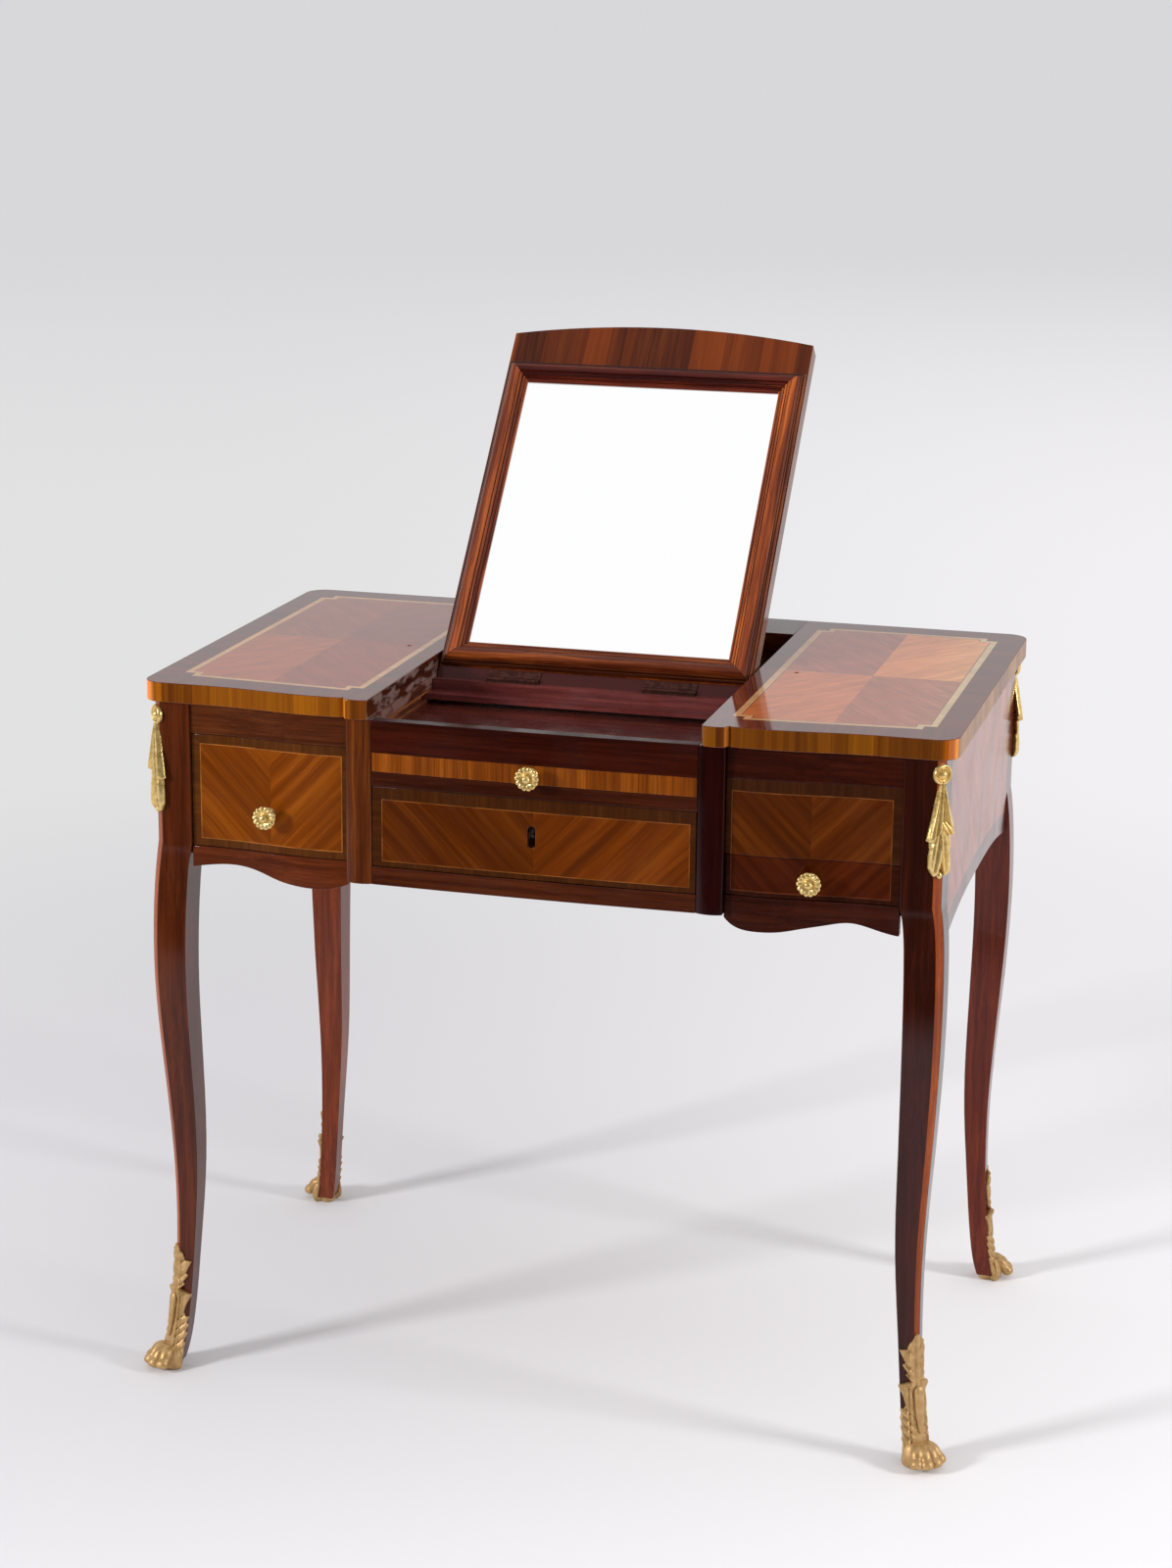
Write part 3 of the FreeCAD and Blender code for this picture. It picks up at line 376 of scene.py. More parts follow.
def quarteredTop(x, y, halfX, front, back, centreY, seed, levels):
    # x from the middle of the field outward, y as it lies; the string lies where the larger
    # of the two gaps, stepped in by notch at the corners, is near zero
    outer = above(x, 0.0)
    deep = y - centreY
    behind = above(deep, 0.0)
    absX, absY = abs(x), abs(deep)
    place = vector(absX * 0.6 + absY * 0.8, absX * 0.8 - absY * 0.6,
                   outer * 0.011 + behind * 0.023)
    field, relief = grain(place, "satin", seed)
    ripple = noise(stretched(place, 26, 90, 1), warp=0.6)
    field = shaded(field, between(ripple, 0.35, 0.65, 0.9, 1.07))
    near = blended(outer, vector(*levels["frontIn"]), vector(*levels["frontOut"]))
    far = blended(outer, vector(*levels["backIn"]), vector(*levels["backOut"]))
    field = blended(1.0, field, blended(behind, near, far), "MULTIPLY")
    xGap = absX - halfX
    yGap = largest(y - back, front - y)
    step = calc("MINIMUM", xGap + top["notch"], yGap + top["notch"])
    gap = largest(xGap, yGap, step)
    bandPlace = blended(above(xGap, yGap), vector(y, x, 0.0), vector(x, y, 0.0))
    band = shaded(tone(bandPlace, "rosewood", seed + 1.3), *top["border"])
    colour = blended(above(gap, 0.0), field, band)
    onString = calc("COMPARE", gap, -top["string"] / 2, top["string"] / 2)
    mottled = noise(vector(x, y, 0.0), scale=60.0)
    string = shaded(top["stringTone"], between(mottled, 0.3, 0.7, 0.85, 1.08))
    colour = blended(onString, colour, string)
    line = calc("COMPARE", gap, -top["string"], top["line"])
    return blended(line, colour, top["lineTone"]), relief


def lidMaterial(name, side):
    # quartered on top, cross-banded at the edge, plain below; side is -1 left and 1 right
    material, place, x, y, z = begin(name)
    nx, ny, nz = objectNormal()
    outward = x * side - (top["inner"] + top["outer"]) / 2
    frontLine = outward * top["slope"] + (top["lead"] - top["front"])
    face, relief = quarteredTop(outward, y, (top["outer"] - top["inner"]) / 2, frontLine,
                                top["back"], top["centreY"], 0.31 * side, quarters[side])
    if side > 0:                                 # painted reflection: the right end made lighter and bluer, as if it threw back the pale light
        bright = between(outward, 25 * mm, 97 * mm)
        face = blended(bright, face, shaded(face, 1.08, 1.4, 1.7))
    edge = stripes(abs(x) + y, z, 0.4 + 0.2 * side)
    # painted light and shade: the left lid's edge lighter and the right lid's darker
    edge = shaded(edge, 1.06 if side < 0 else 0.8)
    sideways = nx * side
    # painted highlight where the edge turns from the front to the side
    paintedCornerHighlight = between(sideways, 0.3, 0.6) * between(ny, -0.1, -0.5)
    edge = blended(paintedCornerHighlight, edge, shaded(edge, 3.0, 2.6, 1.3))
    # painted reflection on the edge's side faces, where the polish meets the light at a glancing
    # angle
    flank = between(sideways, 0.75, 0.95)
    edge = blended(flank, edge, shaded(edge, 1.6, 2.2, 6.0))
    scuffs = between(noise(stretched(place, 30, 30, 90), detail=4.0), 0.45, 0.6)
    bare = blended(scuffs, tone(vector(y, z, 0.0), "rosewood", 2.1), top["scuffTone"])
    edge = blended(below(sideways, -0.7), edge, bare)
    colour = blended(above(nz, 0.6), edge, face)
    colour = blended(below(nz, -0.6), colour, tone(vector(y, x, z), "mahogany", 4.0))
    rough = flank * (1.0 - abs(nz)) * 0.24 + polished(place, 0.6)
    closeMaterial(colour, rough, relief, depth=0.00003, tint=polish["tint"])
    return material


lean = math.radians(41)                          # how far the raised mirror leans back
panel = dict(border=22 * mm, foot=20 * mm, half=0.47, edgeTone=(84, 40, 24), footTone=(62, 24, 22),
             blocks=(26.0, 100.0, ((0.2, (54, 16, 3)), (0.45, (78, 28, 4)), (0.62, (110, 44, 5)),
                                   (0.85, (138, 60, 9)))))


def plate():
    # the mirror plate's middle and lowest height, half its width, and half its length
    low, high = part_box("mirror_glass")
    return dict(middle=(low + high) / 2, foot=low.z, halfX=(high.x - low.x) / 2,
                halfZ=(high.z - low.z) / 2 / math.cos(lean))


def panelAxes():
    # the leaning panel stood upright: x across, z up along it, y through its thickness
    turned = Matrix.Rotation(lean, 3, "X") @ plate()["middle"]
    return split(objectPlace(turned, (lean, 0, 0)))


def plateGaps(x, z):
    # how far a place lies beyond the plate's edges, sideways and along
    glass = plate()
    return abs(x) - glass["halfX"], abs(z) - glass["halfZ"]


def boardMaterial(name):
    # outer face like the side lids, inner face cross-banded beyond the frame
    low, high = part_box("mirror_board")
    glass = plate()
    material = newMaterial(name)
    x, y, z = panelAxes()
    nx, ny, nz = objectNormal()
    facing = ny * math.cos(lean) - nz * math.sin(lean)
    length = (high.y - low.y) / math.sin(lean) * panel["half"]
    face, relief = quarteredTop(x, z, (high.x - low.x) / 2 - panel["border"], -length, length,
                                0.0, 5.0, quarters[-1])
    edge = blended(0.55, stripes(abs(x) + z, y, 0.9), panel["edgeTone"])
    tint = blocks(x + 3.2, *panel["blocks"])
    banded = blended(0.6, shaded(tone(vector(z, x, y), "mahogany", 0.3), 0.6), tint)
    foot = below(z, (glass["foot"] - glass["middle"].z) / math.cos(lean) - panel["foot"])
    banded = blended(foot, banded, panel["footTone"])
    colour = blended(above(facing, 0.7), edge, face)
    colour = blended(below(facing, -0.7), colour, banded)
    closeMaterial(colour, 0.16, relief, specular=0.25)
    return material


moulding = dict(reach=20.1 * mm, under=1.65 * mm, glassThick=3 * mm, steps=120,
                sharp=math.radians(40),
                profile=((0, 0), (0, 4.2), (0.5, 5), (1.6, 5.3), (2.2, 4.9), (2.8, 6.6), (3.6, 7.4),
                         (4.2, 7.2), (4.8, 8.6), (6, 10.2), (7.6, 11.4), (9.5, 11.9), (12, 12),
                         (14.2, 11.6), (16, 10.7), (16.6, 9.4), (17.2, 9.9), (18.4, 9.6),
                         (19.2, 8.6), (19.8, 7.4), (20.4, 7.9), (21.6, 7.5), (22.4, 6.6),
                         (23, 5.8), (23.8, 6.3), (25, 6.2), (25.8, 5.4), (25.8, 3.3)),
                grooves=(17.8 * mm, 15.9 * mm, 3.6 * mm, 0.4 * mm, -2.8 * mm), grooveHalf=0.45 * mm,
                grooveShadeTone=(34, 9, 4), jointHalf=0.35 * mm, jointTone=(26, 9, 6),
                darkTone=(52, 18, 10),           # levels: painted light and shade for the left, right, foot and head bar
                levels=((1.1, 1.1, 1.35), (1.75, 1.8, 1.5), (0.85, 0.85, 0.85), (0.56, 0.34, 0.44)))


def frameMaterial(name):
    # four bars, each with its grain along it, meeting in mitres, dark at the outer step
    material = newMaterial(name)
    x, y, z = panelAxes()
    xGap, zGap = plateGaps(x, z)
    upright = above(xGap, zGap)
    place = blended(upright, vector(x, z, y), vector(z, x, y))
    colour, relief = grain(place, "mahogany", 0.9)
    depth = noise(stretched(place, 6, 500, 500), detail=2.0)
    colour = blended(between(depth, 0.5, 0.7, 0.0, 0.5), colour, moulding["darkTone"])
    outside = largest(xGap, zGap)
    colour = shaded(colour, between(outside, 12.5 * mm, 16 * mm, 1.2, 0.6))
    # painted shade: dark lines in the grooves of the profile
    grooves = largest(*(calc("COMPARE", outside, line, moulding["grooveHalf"])
                        for line in moulding["grooves"]))
    colour = blended(grooves * 0.75, colour, moulding["grooveShadeTone"])
    # painted light and shade: each bar lighter or darker as light falls on it
    left, right, under, head = (vector(*level) for level in moulding["levels"])
    bar = blended(upright, blended(above(z, 0.0), under, head), blended(above(x, 0.0), left, right))
    colour = blended(1.0, colour, bar, "MULTIPLY")
    joint = calc("COMPARE", xGap - zGap, 0.0, moulding["jointHalf"])
    colour = blended(joint, colour, moulding["jointTone"])
    closeMaterial(colour, 0.14, relief, specular=0.4, tint=polish["tint"])
    return material


sides = dict(under=22 * mm, over=16 * mm, beside=14 * mm, arch=17 * mm, bend=2.8,
             shade=(1.5, 1.1, 1.15))


def sideMaterial(name, sign):
    # a field of slanted tulipwood in a dark band that follows the arched lower edge
    low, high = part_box("side_panel_right" if sign > 0 else "side_panel_left")
    material, place, x, y, z = begin(name)
    half = (high.y - low.y) / 2
    across = y - (low.y + high.y) / 2
    arch = calc("POWER", abs(across) / half, sides["bend"])
    arch = arch * -sides["arch"] + (low.z + sides["arch"])
    gap = largest(arch + sides["under"] - z, z - (high.z - sides["over"]),
                  abs(across) - (half - sides["beside"]))
    field, relief = bandedField(across, z - (low.z + high.z) / 2, 1.0, 1.0, 0.5 * sign)
    colour = blended(above(gap, 0.0), field, tone(vector(z, y, x), "rosewood", 3.3))
    onString = calc("COMPARE", gap, 0.0, fronts["string"] / 2)
    colour = shaded(blended(onString, colour, fronts["stringTone"]), *sides["shade"])
    closeMaterial(colour, polished(place), relief, tint=polish["tint"])
    return material


def legMaterial(name, seed, shade):
    # dark upright veneer, with a pale strip on the cut corner
    material, place, x, y, z = begin(name)
    nx, ny, nz = objectNormal()
    colour, relief = grain(vector(z, x, y), "rosewood", seed)
    strip = shaded(tone(vector(z, x, y), "tulip", seed + 2), 1.5, 1.15, 1.3)
    outX, outY = nx * calc("SIGN", x), ny * calc("SIGN", y)
    tilt = largest(outX, 0.0) * outY
    colour = blended(between(tilt, 0.36, 0.42), shaded(colour, *shade), strip)
    closeMaterial(colour, polished(place), relief, specular=0.3, tint=polish["tint"])
    return material


def slideMaterial(name):
    # upright cross-banding along the writing slide
    material, place, x, y, z = begin(name)
    colour, relief = grain(vector(z, x, y), "tulip", 0.2)
    lines = noise(stretched(place, 620, 1, 6), rough=0.65)
    colour = blended(between(lines, 0.5, 0.64, 0.0, 0.55), colour, (66, 28, 5))
    broad = noise(stretched(place, 60, 1, 1), detail=2.0)
    colour = shaded(colour, between(broad, 0.35, 0.65, 1.0, 1.3))
    closeMaterial(colour, polished(place), relief, specular=0.25)
    return material


well = dict(lip=709 * mm, groove=703 * mm, grooveHalf=5 * mm, wornTone=(116, 84, 76),
            bareTone=(158, 92, 46), darkTone=(84, 38, 24))


def wellMaterial(name):
    # the grooved walls of the middle well: worn above, bare wood in the groove
    material, place, x, y, z = begin(name)
    colour, relief = grain(vector(y, z, x), "redwood", 1.7)
    worked = between(noise(stretched(place, 20, 20, 160), detail=5.0), 0.4, 0.65)
    worn = between(noise(stretched(place, 40, 40, 90), detail=4.0), 0.42, 0.6)
    colour = blended(above(z, well["lip"]) * worn, colour, well["wornTone"])
    groove = calc("COMPARE", z, well["groove"], well["grooveHalf"])
    colour = blended(groove * 0.85, colour, blended(worked, well["bareTone"], well["darkTone"]))
    closeMaterial(colour, 0.4, relief, depth=0.0004)
    return material


gilding = dict(gold=((0.3, (206, 174, 106)), (0.5, (222, 190, 122)), (0.7, (236, 208, 142))),
               dull=((0.3, (164, 128, 80)), (0.5, (180, 144, 94)), (0.7, (196, 162, 112))),
               hollowTone=(66, 40, 12), hollowFrom=0.42, hollowTo=0.492)


def bronzeMaterial(name, tones, roughness, metallic):
    # gilding: bright on the high places, brown in the hollows, partly patina and partly painted
    # shade in the creases
    material = newMaterial(name)
    place = objectPlace()
    pointiness = Value(add("NewGeometry").outputs["Pointiness"])
    hollow = between(pointiness, gilding["hollowFrom"], gilding["hollowTo"])
    blotches = noise(place, scale=160.0, detail=4.0, rough=0.6)
    colour = blended(hollow, gilding["hollowTone"], ramp(blotches, tones))
    worn = between(blotches, 0.3, 0.7, roughness, roughness + 0.14)
    fine = noise(place, scale=900.0, detail=2.0)
    closeMaterial(colour, worn, fine, depth=0.00003, metallic=metallic)
    return material


def metalMaterial(name, light, dark, roughness):
    # plain metal with darker spots
    material = newMaterial(name)
    spots = noise(objectPlace(), scale=220.0, detail=4.0)
    colour = blended(between(spots, 0.35, 0.65), light, dark)
    closeMaterial(colour, roughness, spots, metallic=1.0)
    return material


def glassMaterial(name):
    # silvered plate, slightly foxed near the frame; it glows at half strength, a painted reflection
    # of the bright room
    material = newMaterial(name)
    x, y, z = panelAxes()
    spots = noise(objectPlace(), scale=70.0, detail=5.0, rough=0.7)
    edge = largest(*plateGaps(x, z))
    fox = between(edge, -12 * mm, -3 * mm) * between(spots, 0.6, 0.75, 0.0, 0.5)
    closeMaterial(blended(fox, (252, 253, 253), (150, 140, 120)), 0.02, metallic=1.0, glow=0.5)
    return material


# Finishes: wood, grain, seed, roughness, levels and sheen of each plain veneer; the levels are
# painted light and shade, making pieces of one veneer lighter or darker as light falls on them

veneers = {
    "block_top_rail_left": ("left rail rosewood", "rosewood", "X", 0.0, 1.0, (1.57, 1.8, 1.5)),
    "block_top_rail_right": ("right rail rosewood", "rosewood", "X", 0.6, 1.0, (0.7, 0.5, 0.5)),
    "centre_top_rail": ("middle rail rosewood", "rosewood", "X", 0.4, 2.2, (0.57, 0.34, 0.38),
                        0.08),
    "slide_rail": ("slide rail rosewood", "rosewood", "X", 1.9, 1.0, (0.71, 0.61, 0.5)),
    "centre_bottom_rail": ("bottom rail rosewood", "rosewood", "X", 2.2, 1.0, (1.0, 0.95, 0.75)),
    "stile_left": ("left stile redwood", "redwood", "Z", 0.8, 1.0, (1.2, 1.35, 1.05)),
    "stile_right": ("right stile rosewood", "rosewood", "Z", 2.8, 1.0, (0.24, 0.09, 0.16)),
    "apron_left": ("left apron rosewood", "rosewood", "X", 2.4, 1.0, (1.76, 1.6, 1.1)),
    "apron_right": ("right apron rosewood", "rosewood", "X", 2.9, 1.0, (0.6, 0.5, 0.6)),
    "rear_strip": ("rear strip rosewood", "rosewood", "X", 3.1),
    "mirror_slider": ("batten", "rosewood", "X", 4.2, 2.5, (2.6, 2.5, 7.0), 0.5),
}
# painted light and shade: each leg's veneer lighter or darker as light falls on it
paintedLegLight = {
    "leg_front_left": (1.25, 1.15, 0.75),
    "leg_front_right": (0.58, 0.45, 0.48),
    "leg_back_left": (2.7, 2.3, 1.8),
    "leg_back_right": (2.2, 1.5, 1.4),
}
blockString = (195.5, 348.2, 578.7, 676.6)
boards = {nodeName: plainWood(*values) for nodeName, values in veneers.items()}
boards.update({
    "slide_front": slideMaterial("slide banding"),
    "lid_left": lidMaterial("left lid marquetry", -1),
    "lid_right": lidMaterial("right lid marquetry", 1),
    "mirror_board": boardMaterial("mirror board"),
    "side_panel_left": sideMaterial("left side marquetry", -1),
    "side_panel_right": sideMaterial("right side marquetry", 1),
    # the last levels of each drawer front are painted light and shade, lighter towards the left
    # where the light falls
    "centre_drawer_front": frontMaterial("middle drawer marquetry", (-152.5, 156.5, 579, 641),
                                         0.12, 0.2, (0.67, 0.58, 0.4)),
    "left_drawer_front": frontMaterial("left drawer marquetry", (-348.1, -196.8, 581.8, 678.7),
                                       0.55, 0.05, (1.1, 1.05, 0.8)),
    "false_panel_right": frontMaterial("right block marquetry", blockString, 0.86, 0.1,
                                       (0.52, 0.46, 0.5)),
    "right_drawer_front": frontMaterial("right drawer marquetry", blockString, 0.86, 0.1,
                                        (0.36, 0.23, 0.32)),
})
for number, (nodeName, shade) in enumerate(paintedLegLight.items()):
    boards[nodeName] = legMaterial("leg veneer %d" % number, 1.7 * number, shade)
plainNodes = (
    (plainWood("back panel", "oak", "X", 1.1, 3.0), ("back_panel",)),
    # the well floor's levels lift its blue: partly its own tone, partly painted reflection
    (plainWood("well floor", "rosewood", "X", 5.0, 1.6, (1.7, 1.35, 2.9), 0.5),
     ("centre_well_floor",)),
    (wellMaterial("well wall"), ("partition_left", "partition_right")),
    (plainWood("raw oak lengthwise", "oak", "Y", 0.0, 4.0),
     ("bottom_board_left", "bottom_board_centre", "bottom_board_right", "drawer_runners",
      "slide_runners", "left_tray", "right_well_floor", "centre_drawer_box", "left_drawer_box",
      "right_drawer_box", "slide_board")),
    (plainWood("raw oak crosswise", "oak", "X", 1.0, 4.0), ("rear_cross_rail",)),
    (glassMaterial("mirror plate"), ("mirror_glass",)),
    (metalMaterial("hinge brass", (104, 66, 58), (78, 48, 44), 0.5),
     ("mirror_hinge_batten_leaves", "mirror_hinge_panel_leaves", "lid_hinge_case_leaves",
      "lid_hinge_leaves_left", "lid_hinge_leaves_right")),
    (metalMaterial("lock iron", (150, 144, 140), (96, 88, 84), 0.35), ("centre_drawer_lock",)),
)
finish = {
    "frame": frameMaterial("mirror moulding"),
    "gilt": bronzeMaterial("gilt bronze", gilding["gold"], 0.24, 0.74),
    "dullGilt": bronzeMaterial("worn gilt bronze", gilding["dull"], 0.4, 0.5),
}
print("finishes made:", len(boards) + len(plainNodes) + len(finish))


# Boards: each CAD board is copied, merged and given slightly rounded edges

edges = dict(width=0.7 * mm, segments=2, angle=math.radians(35), merge=0.002 * mm,
             flat=math.radians(0.6))
bodyOf = {member: body for body, members in frame["record"]["behaviour"]["bodies"].items()
          for member in members}


def dress(piece, material, nodeName):
    # the finish, the slot it is drawn from, the body it rides on and the node it stands for
    piece.data.materials.clear()
    piece.data.materials.append(material)
    scene.collection.objects.link(piece)
    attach(piece, bodyOf[nodeName])
    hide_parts(nodeName)


def softBoard(nodeName, material):
    # faces within flat of each other become one, and edges sharper than angle are rounded
    mesh = nodes[nodeName].data.copy()
    mesh.name = nodeName + "_board"
    shape = bmesh.new()
    shape.from_mesh(mesh)
    bmesh.ops.remove_doubles(shape, verts=shape.verts, dist=edges["merge"])
    bmesh.ops.dissolve_limit(shape, angle_limit=edges["flat"], verts=shape.verts,
                             edges=shape.edges)
    shape.to_mesh(mesh)
    shape.free()
    mesh.shade_smooth()
    mesh.set_sharp_from_angle(angle=edges["angle"])
    piece = bpy.data.objects.new(nodeName + "_board", mesh)
    rounding = piece.modifiers.new("edges", "BEVEL")
    rounding.width = edges["width"]
    rounding.segments = edges["segments"]
    rounding.limit_method = "ANGLE"
    rounding.angle_limit = edges["angle"]
    flattening = piece.modifiers.new("normals", "WEIGHTED_NORMAL")
    flattening.weight = 100
    flattening.keep_sharp = True
    dress(piece, material, nodeName)


for nodeName, material in boards.items():
    softBoard(nodeName, material)
for material, names in plainNodes:
    for nodeName in names:
        mesh = nodes[nodeName].data
        mesh.materials.clear()
        mesh.materials.append(material)
print("boards dressed")


# Surfaces: grids of points joined into closed shells

def smoothThrough(points, count):
    # Catmull-Rom: each stretch is a cubic through two points, its slopes from their neighbours
    points = np.asarray(points, float)
    ends = np.vstack([2 * points[0] - points[1], points, 2 * points[-1] - points[-2]])
    place = np.linspace(0, len(points) - 1, count)
    index = np.minimum(place.astype(int), len(points) - 2)
    share = (place - index)[:, None]
    before, start, end, after = (ends[index + step] for step in range(4))
    return 0.5 * (2 * start + (end - before) * share
                  + (2 * before - 5 * start + 4 * end - after) * share ** 2
                  + (3 * start - before - 3 * end + after) * share ** 3)


def gridFaces(rows, columns, first=0, wrap=False):
    # quads of a grid of rows by columns points, numbered row by row from first
    row, column = np.meshgrid(np.arange(rows - 1), np.arange(columns if wrap else columns - 1),
                              indexing="ij")
    following = (column + 1) % columns
    corners = (row * columns + column, row * columns + following,
               (row + 1) * columns + following, (row + 1) * columns + column)
    return first + np.stack(corners, axis=-1).reshape(-1, 4)


def slab(front, back):
    # a closed shell: a front grid, a back grid turned over, and the rim between them
    rows, columns = front.shape[:2]
    count = rows * columns
    ring = np.concatenate([np.arange(columns), np.arange(1, rows) * columns + columns - 1,
                           (rows - 1) * columns + np.arange(columns - 2, -1, -1),
                           np.arange(rows - 2, 0, -1) * columns])
    following = np.roll(ring, -1)
    rim = np.stack([following, ring, ring + count, following + count], axis=-1)
    faces = [gridFaces(rows, columns), gridFaces(rows, columns, count)[:, ::-1], rim]
    points = np.concatenate([front.reshape(-1, 3), back.reshape(-1, 3)])
    return points, np.concatenate(faces)


def fullTurn(count):
    # angles spread evenly round a circle, the first not repeated at the end
    return np.linspace(0, 2 * math.pi, count, endpoint=False)


def lathe(profile, turns, shape=None):
    # a profile of radius and reach turned about the reach axis; shape may vary it with angle
    angle = fullTurn(turns)[None, :]
    radius, reach = (column[:, None] * np.ones_like(angle) for column in profile.T)
    if shape:
        radius, reach = shape(radius, reach, angle)
    points = np.stack([radius * np.cos(angle), radius * np.sin(angle), reach], axis=-1)
    return points.reshape(-1, 3), gridFaces(len(profile), turns, wrap=True)


def newMesh(name, points, faces):
    # a mesh from arrays of points and quads
    mesh = bpy.data.meshes.new(name)
    mesh.from_pydata(points.tolist(), [], faces.tolist())
    return mesh


def buildPiece(name, parts):
    # parts are pairs of points and quads; each part is merged at its poles and faces outward
    joined = bmesh.new()
    for points, faces in parts:
        mesh = newMesh(name, points, faces)
        part = bmesh.new()
        part.from_mesh(mesh)
        bmesh.ops.remove_doubles(part, verts=part.verts, dist=0.01 * mm)
        bmesh.ops.dissolve_degenerate(part, edges=part.edges, dist=0.002 * mm)
        bmesh.ops.recalc_face_normals(part, faces=part.faces)
        part.to_mesh(mesh)
        part.free()
        joined.from_mesh(mesh)
        bpy.data.meshes.remove(mesh)
    mesh = bpy.data.meshes.new(name)
    joined.to_mesh(mesh)
    joined.free()
    mesh.shade_smooth()
    return bpy.data.objects.new(name, mesh)


def placed(part, axes, origin):
    # a part's points carried into the frame: axes are the directions of its x, y and z
    points, faces = part
    return points @ np.asarray(axes, float) + np.asarray(origin, float), faces


# The mirror's moulding: one profile swept along four bars that meet in mitres

def makeMoulding():
    low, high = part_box("mirror_glass")
    sideways, upright, outward = np.array(((1, 0, 0), (0, math.sin(lean), math.cos(lean)),
                                           (0, -math.cos(lean), math.sin(lean))))
    base = np.array((low + high) / 2) - moulding["under"] * outward
    halfX = (high.x - low.x) / 2 + moulding["reach"]
    length = (high.z - low.z - moulding["glassThick"] * math.sin(lean)) / math.cos(lean)
    halfZ = length / 2 + moulding["reach"]
    place = np.linspace(0, 1, len(moulding["profile"]))
    fine = np.linspace(0, 1, moulding["steps"])
    inward, height = (np.interp(fine, place, column) * mm
                      for column in np.transpose(moulding["profile"]))
    rise = height[:, None] * outward
    bars = []
    for across, along, halfAcross, halfAlong in ((sideways, upright, halfX, halfZ),
                                                 (-sideways, -upright, halfX, halfZ),
                                                 (upright, -sideways, halfZ, halfX),
                                                 (-upright, sideways, halfZ, halfX)):
        side = (halfAcross - inward)[:, None] * across
        reach = (halfAlong - inward)[:, None] * along
        back = np.stack([base + side - reach, base + side + reach])
        bars.append(slab(back + rise, back))
    piece = buildPiece("mirror_frame_moulding", bars)
    piece.data.set_sharp_from_angle(angle=moulding["sharp"])
    dress(piece, finish["frame"], "mirror_frame")


makeMoulding()
print("moulding made")


# Rosette knobs

rosette = dict(petals=14, rimCut=0.09, petalRise=1.3 * mm, turns=112, steps=90, length=22 * mm,
               rim=11 * mm, rimWidth=3.2 * mm, beads=5, beadCut=0.06,
               starts=(0.38, 0.52, 0.84),        # where rim, face and middle bead begin
               profile=((0, 0), (6.3, 0), (6.5, 1.2), (5.0, 2.6), (3.7, 4.4), (3.6, 7.5),
                        (4.6, 10.4), (8.2, 12.6), (11.2, 14.2), (12.0, 16.0), (11.5, 17.6),
                        (9.6, 18.2), (7.0, 17.8), (4.9, 16.8), (4.1, 17.4), (3.9, 19.4),
                        (3.0, 21.0), (1.5, 21.8), (0, 22.0)))


def knobPart():
    # a turned profile, its petals cut on the rim and the face and its beads in the middle
    profile = smoothThrough(np.array(rosette["profile"]) * mm, rosette["steps"])
    profile = np.clip(profile, 0, (np.inf, rosette["length"]))
    step = np.linspace(0, 1, rosette["steps"])[:, None]
    onRim, onFace, onBead = (step > start for start in rosette["starts"])

    def petals(radius, reach, angle):
        # petals stand where the cosine of half their count is large, most of all at the rim
        cut = 1 - np.abs(np.cos(rosette["petals"] * angle / 2)) ** 0.7
        rim = np.exp(-((radius - rosette["rim"]) / rosette["rimWidth"]) ** 2) * onRim
        bead = 1 + rosette["beadCut"] * np.cos(rosette["beads"] * angle) * onBead
        radius = radius * (1 - rosette["rimCut"] * cut * rim) * bead
        return radius, reach - rosette["petalRise"] * cut * rim * onFace

    return lathe(profile, rosette["turns"], petals)


def makeKnob(nodeName):
    # the foot lies the rosette's length behind its outer end
    low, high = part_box(nodeName)
    centre = (low + high) / 2
    base = (centre.x, low.y + rosette["length"], centre.z)
    part = placed(knobPart(), ((1, 0, 0), (0, 0, 1), (0, -1, 0)), base)
    dress(buildPiece(nodeName + "_rosette", [part]), finish["gilt"], nodeName)


for nodeName in ("slide_knob", "left_drawer_knob", "right_drawer_knob"):
    makeKnob(nodeName)
print("knobs made")


# Corner mounts: a ringed disc, two folds of cloth and a gathered tail below them

mount = dict(disc=((9.5, -1), (9.9, 1.2), (9.4, 2.8), (8.3, 3.1), (7.6, 1.8), (6.9, 1.5),
                   (6.2, 2.6), (5.6, 2.2), (5.0, 1.6), (4.0, 3.4), (2.5, 4.7), (1.2, 5.2),
                   (0, 5.3)),
             discHeight=705.8 * mm, sectionAt=650 * mm, turns=64, rows=90, columns=80, widen=1.16,
             sink=1.2 * mm, thick=0.4 * mm, rim=0.12, hemFrom=0.92, hemCut=0.55, flat=0.22,
             bud=(3.0 * mm, 8 * mm), budPlace=(0, 604.2 * mm, 1.8 * mm), budTurns=24)
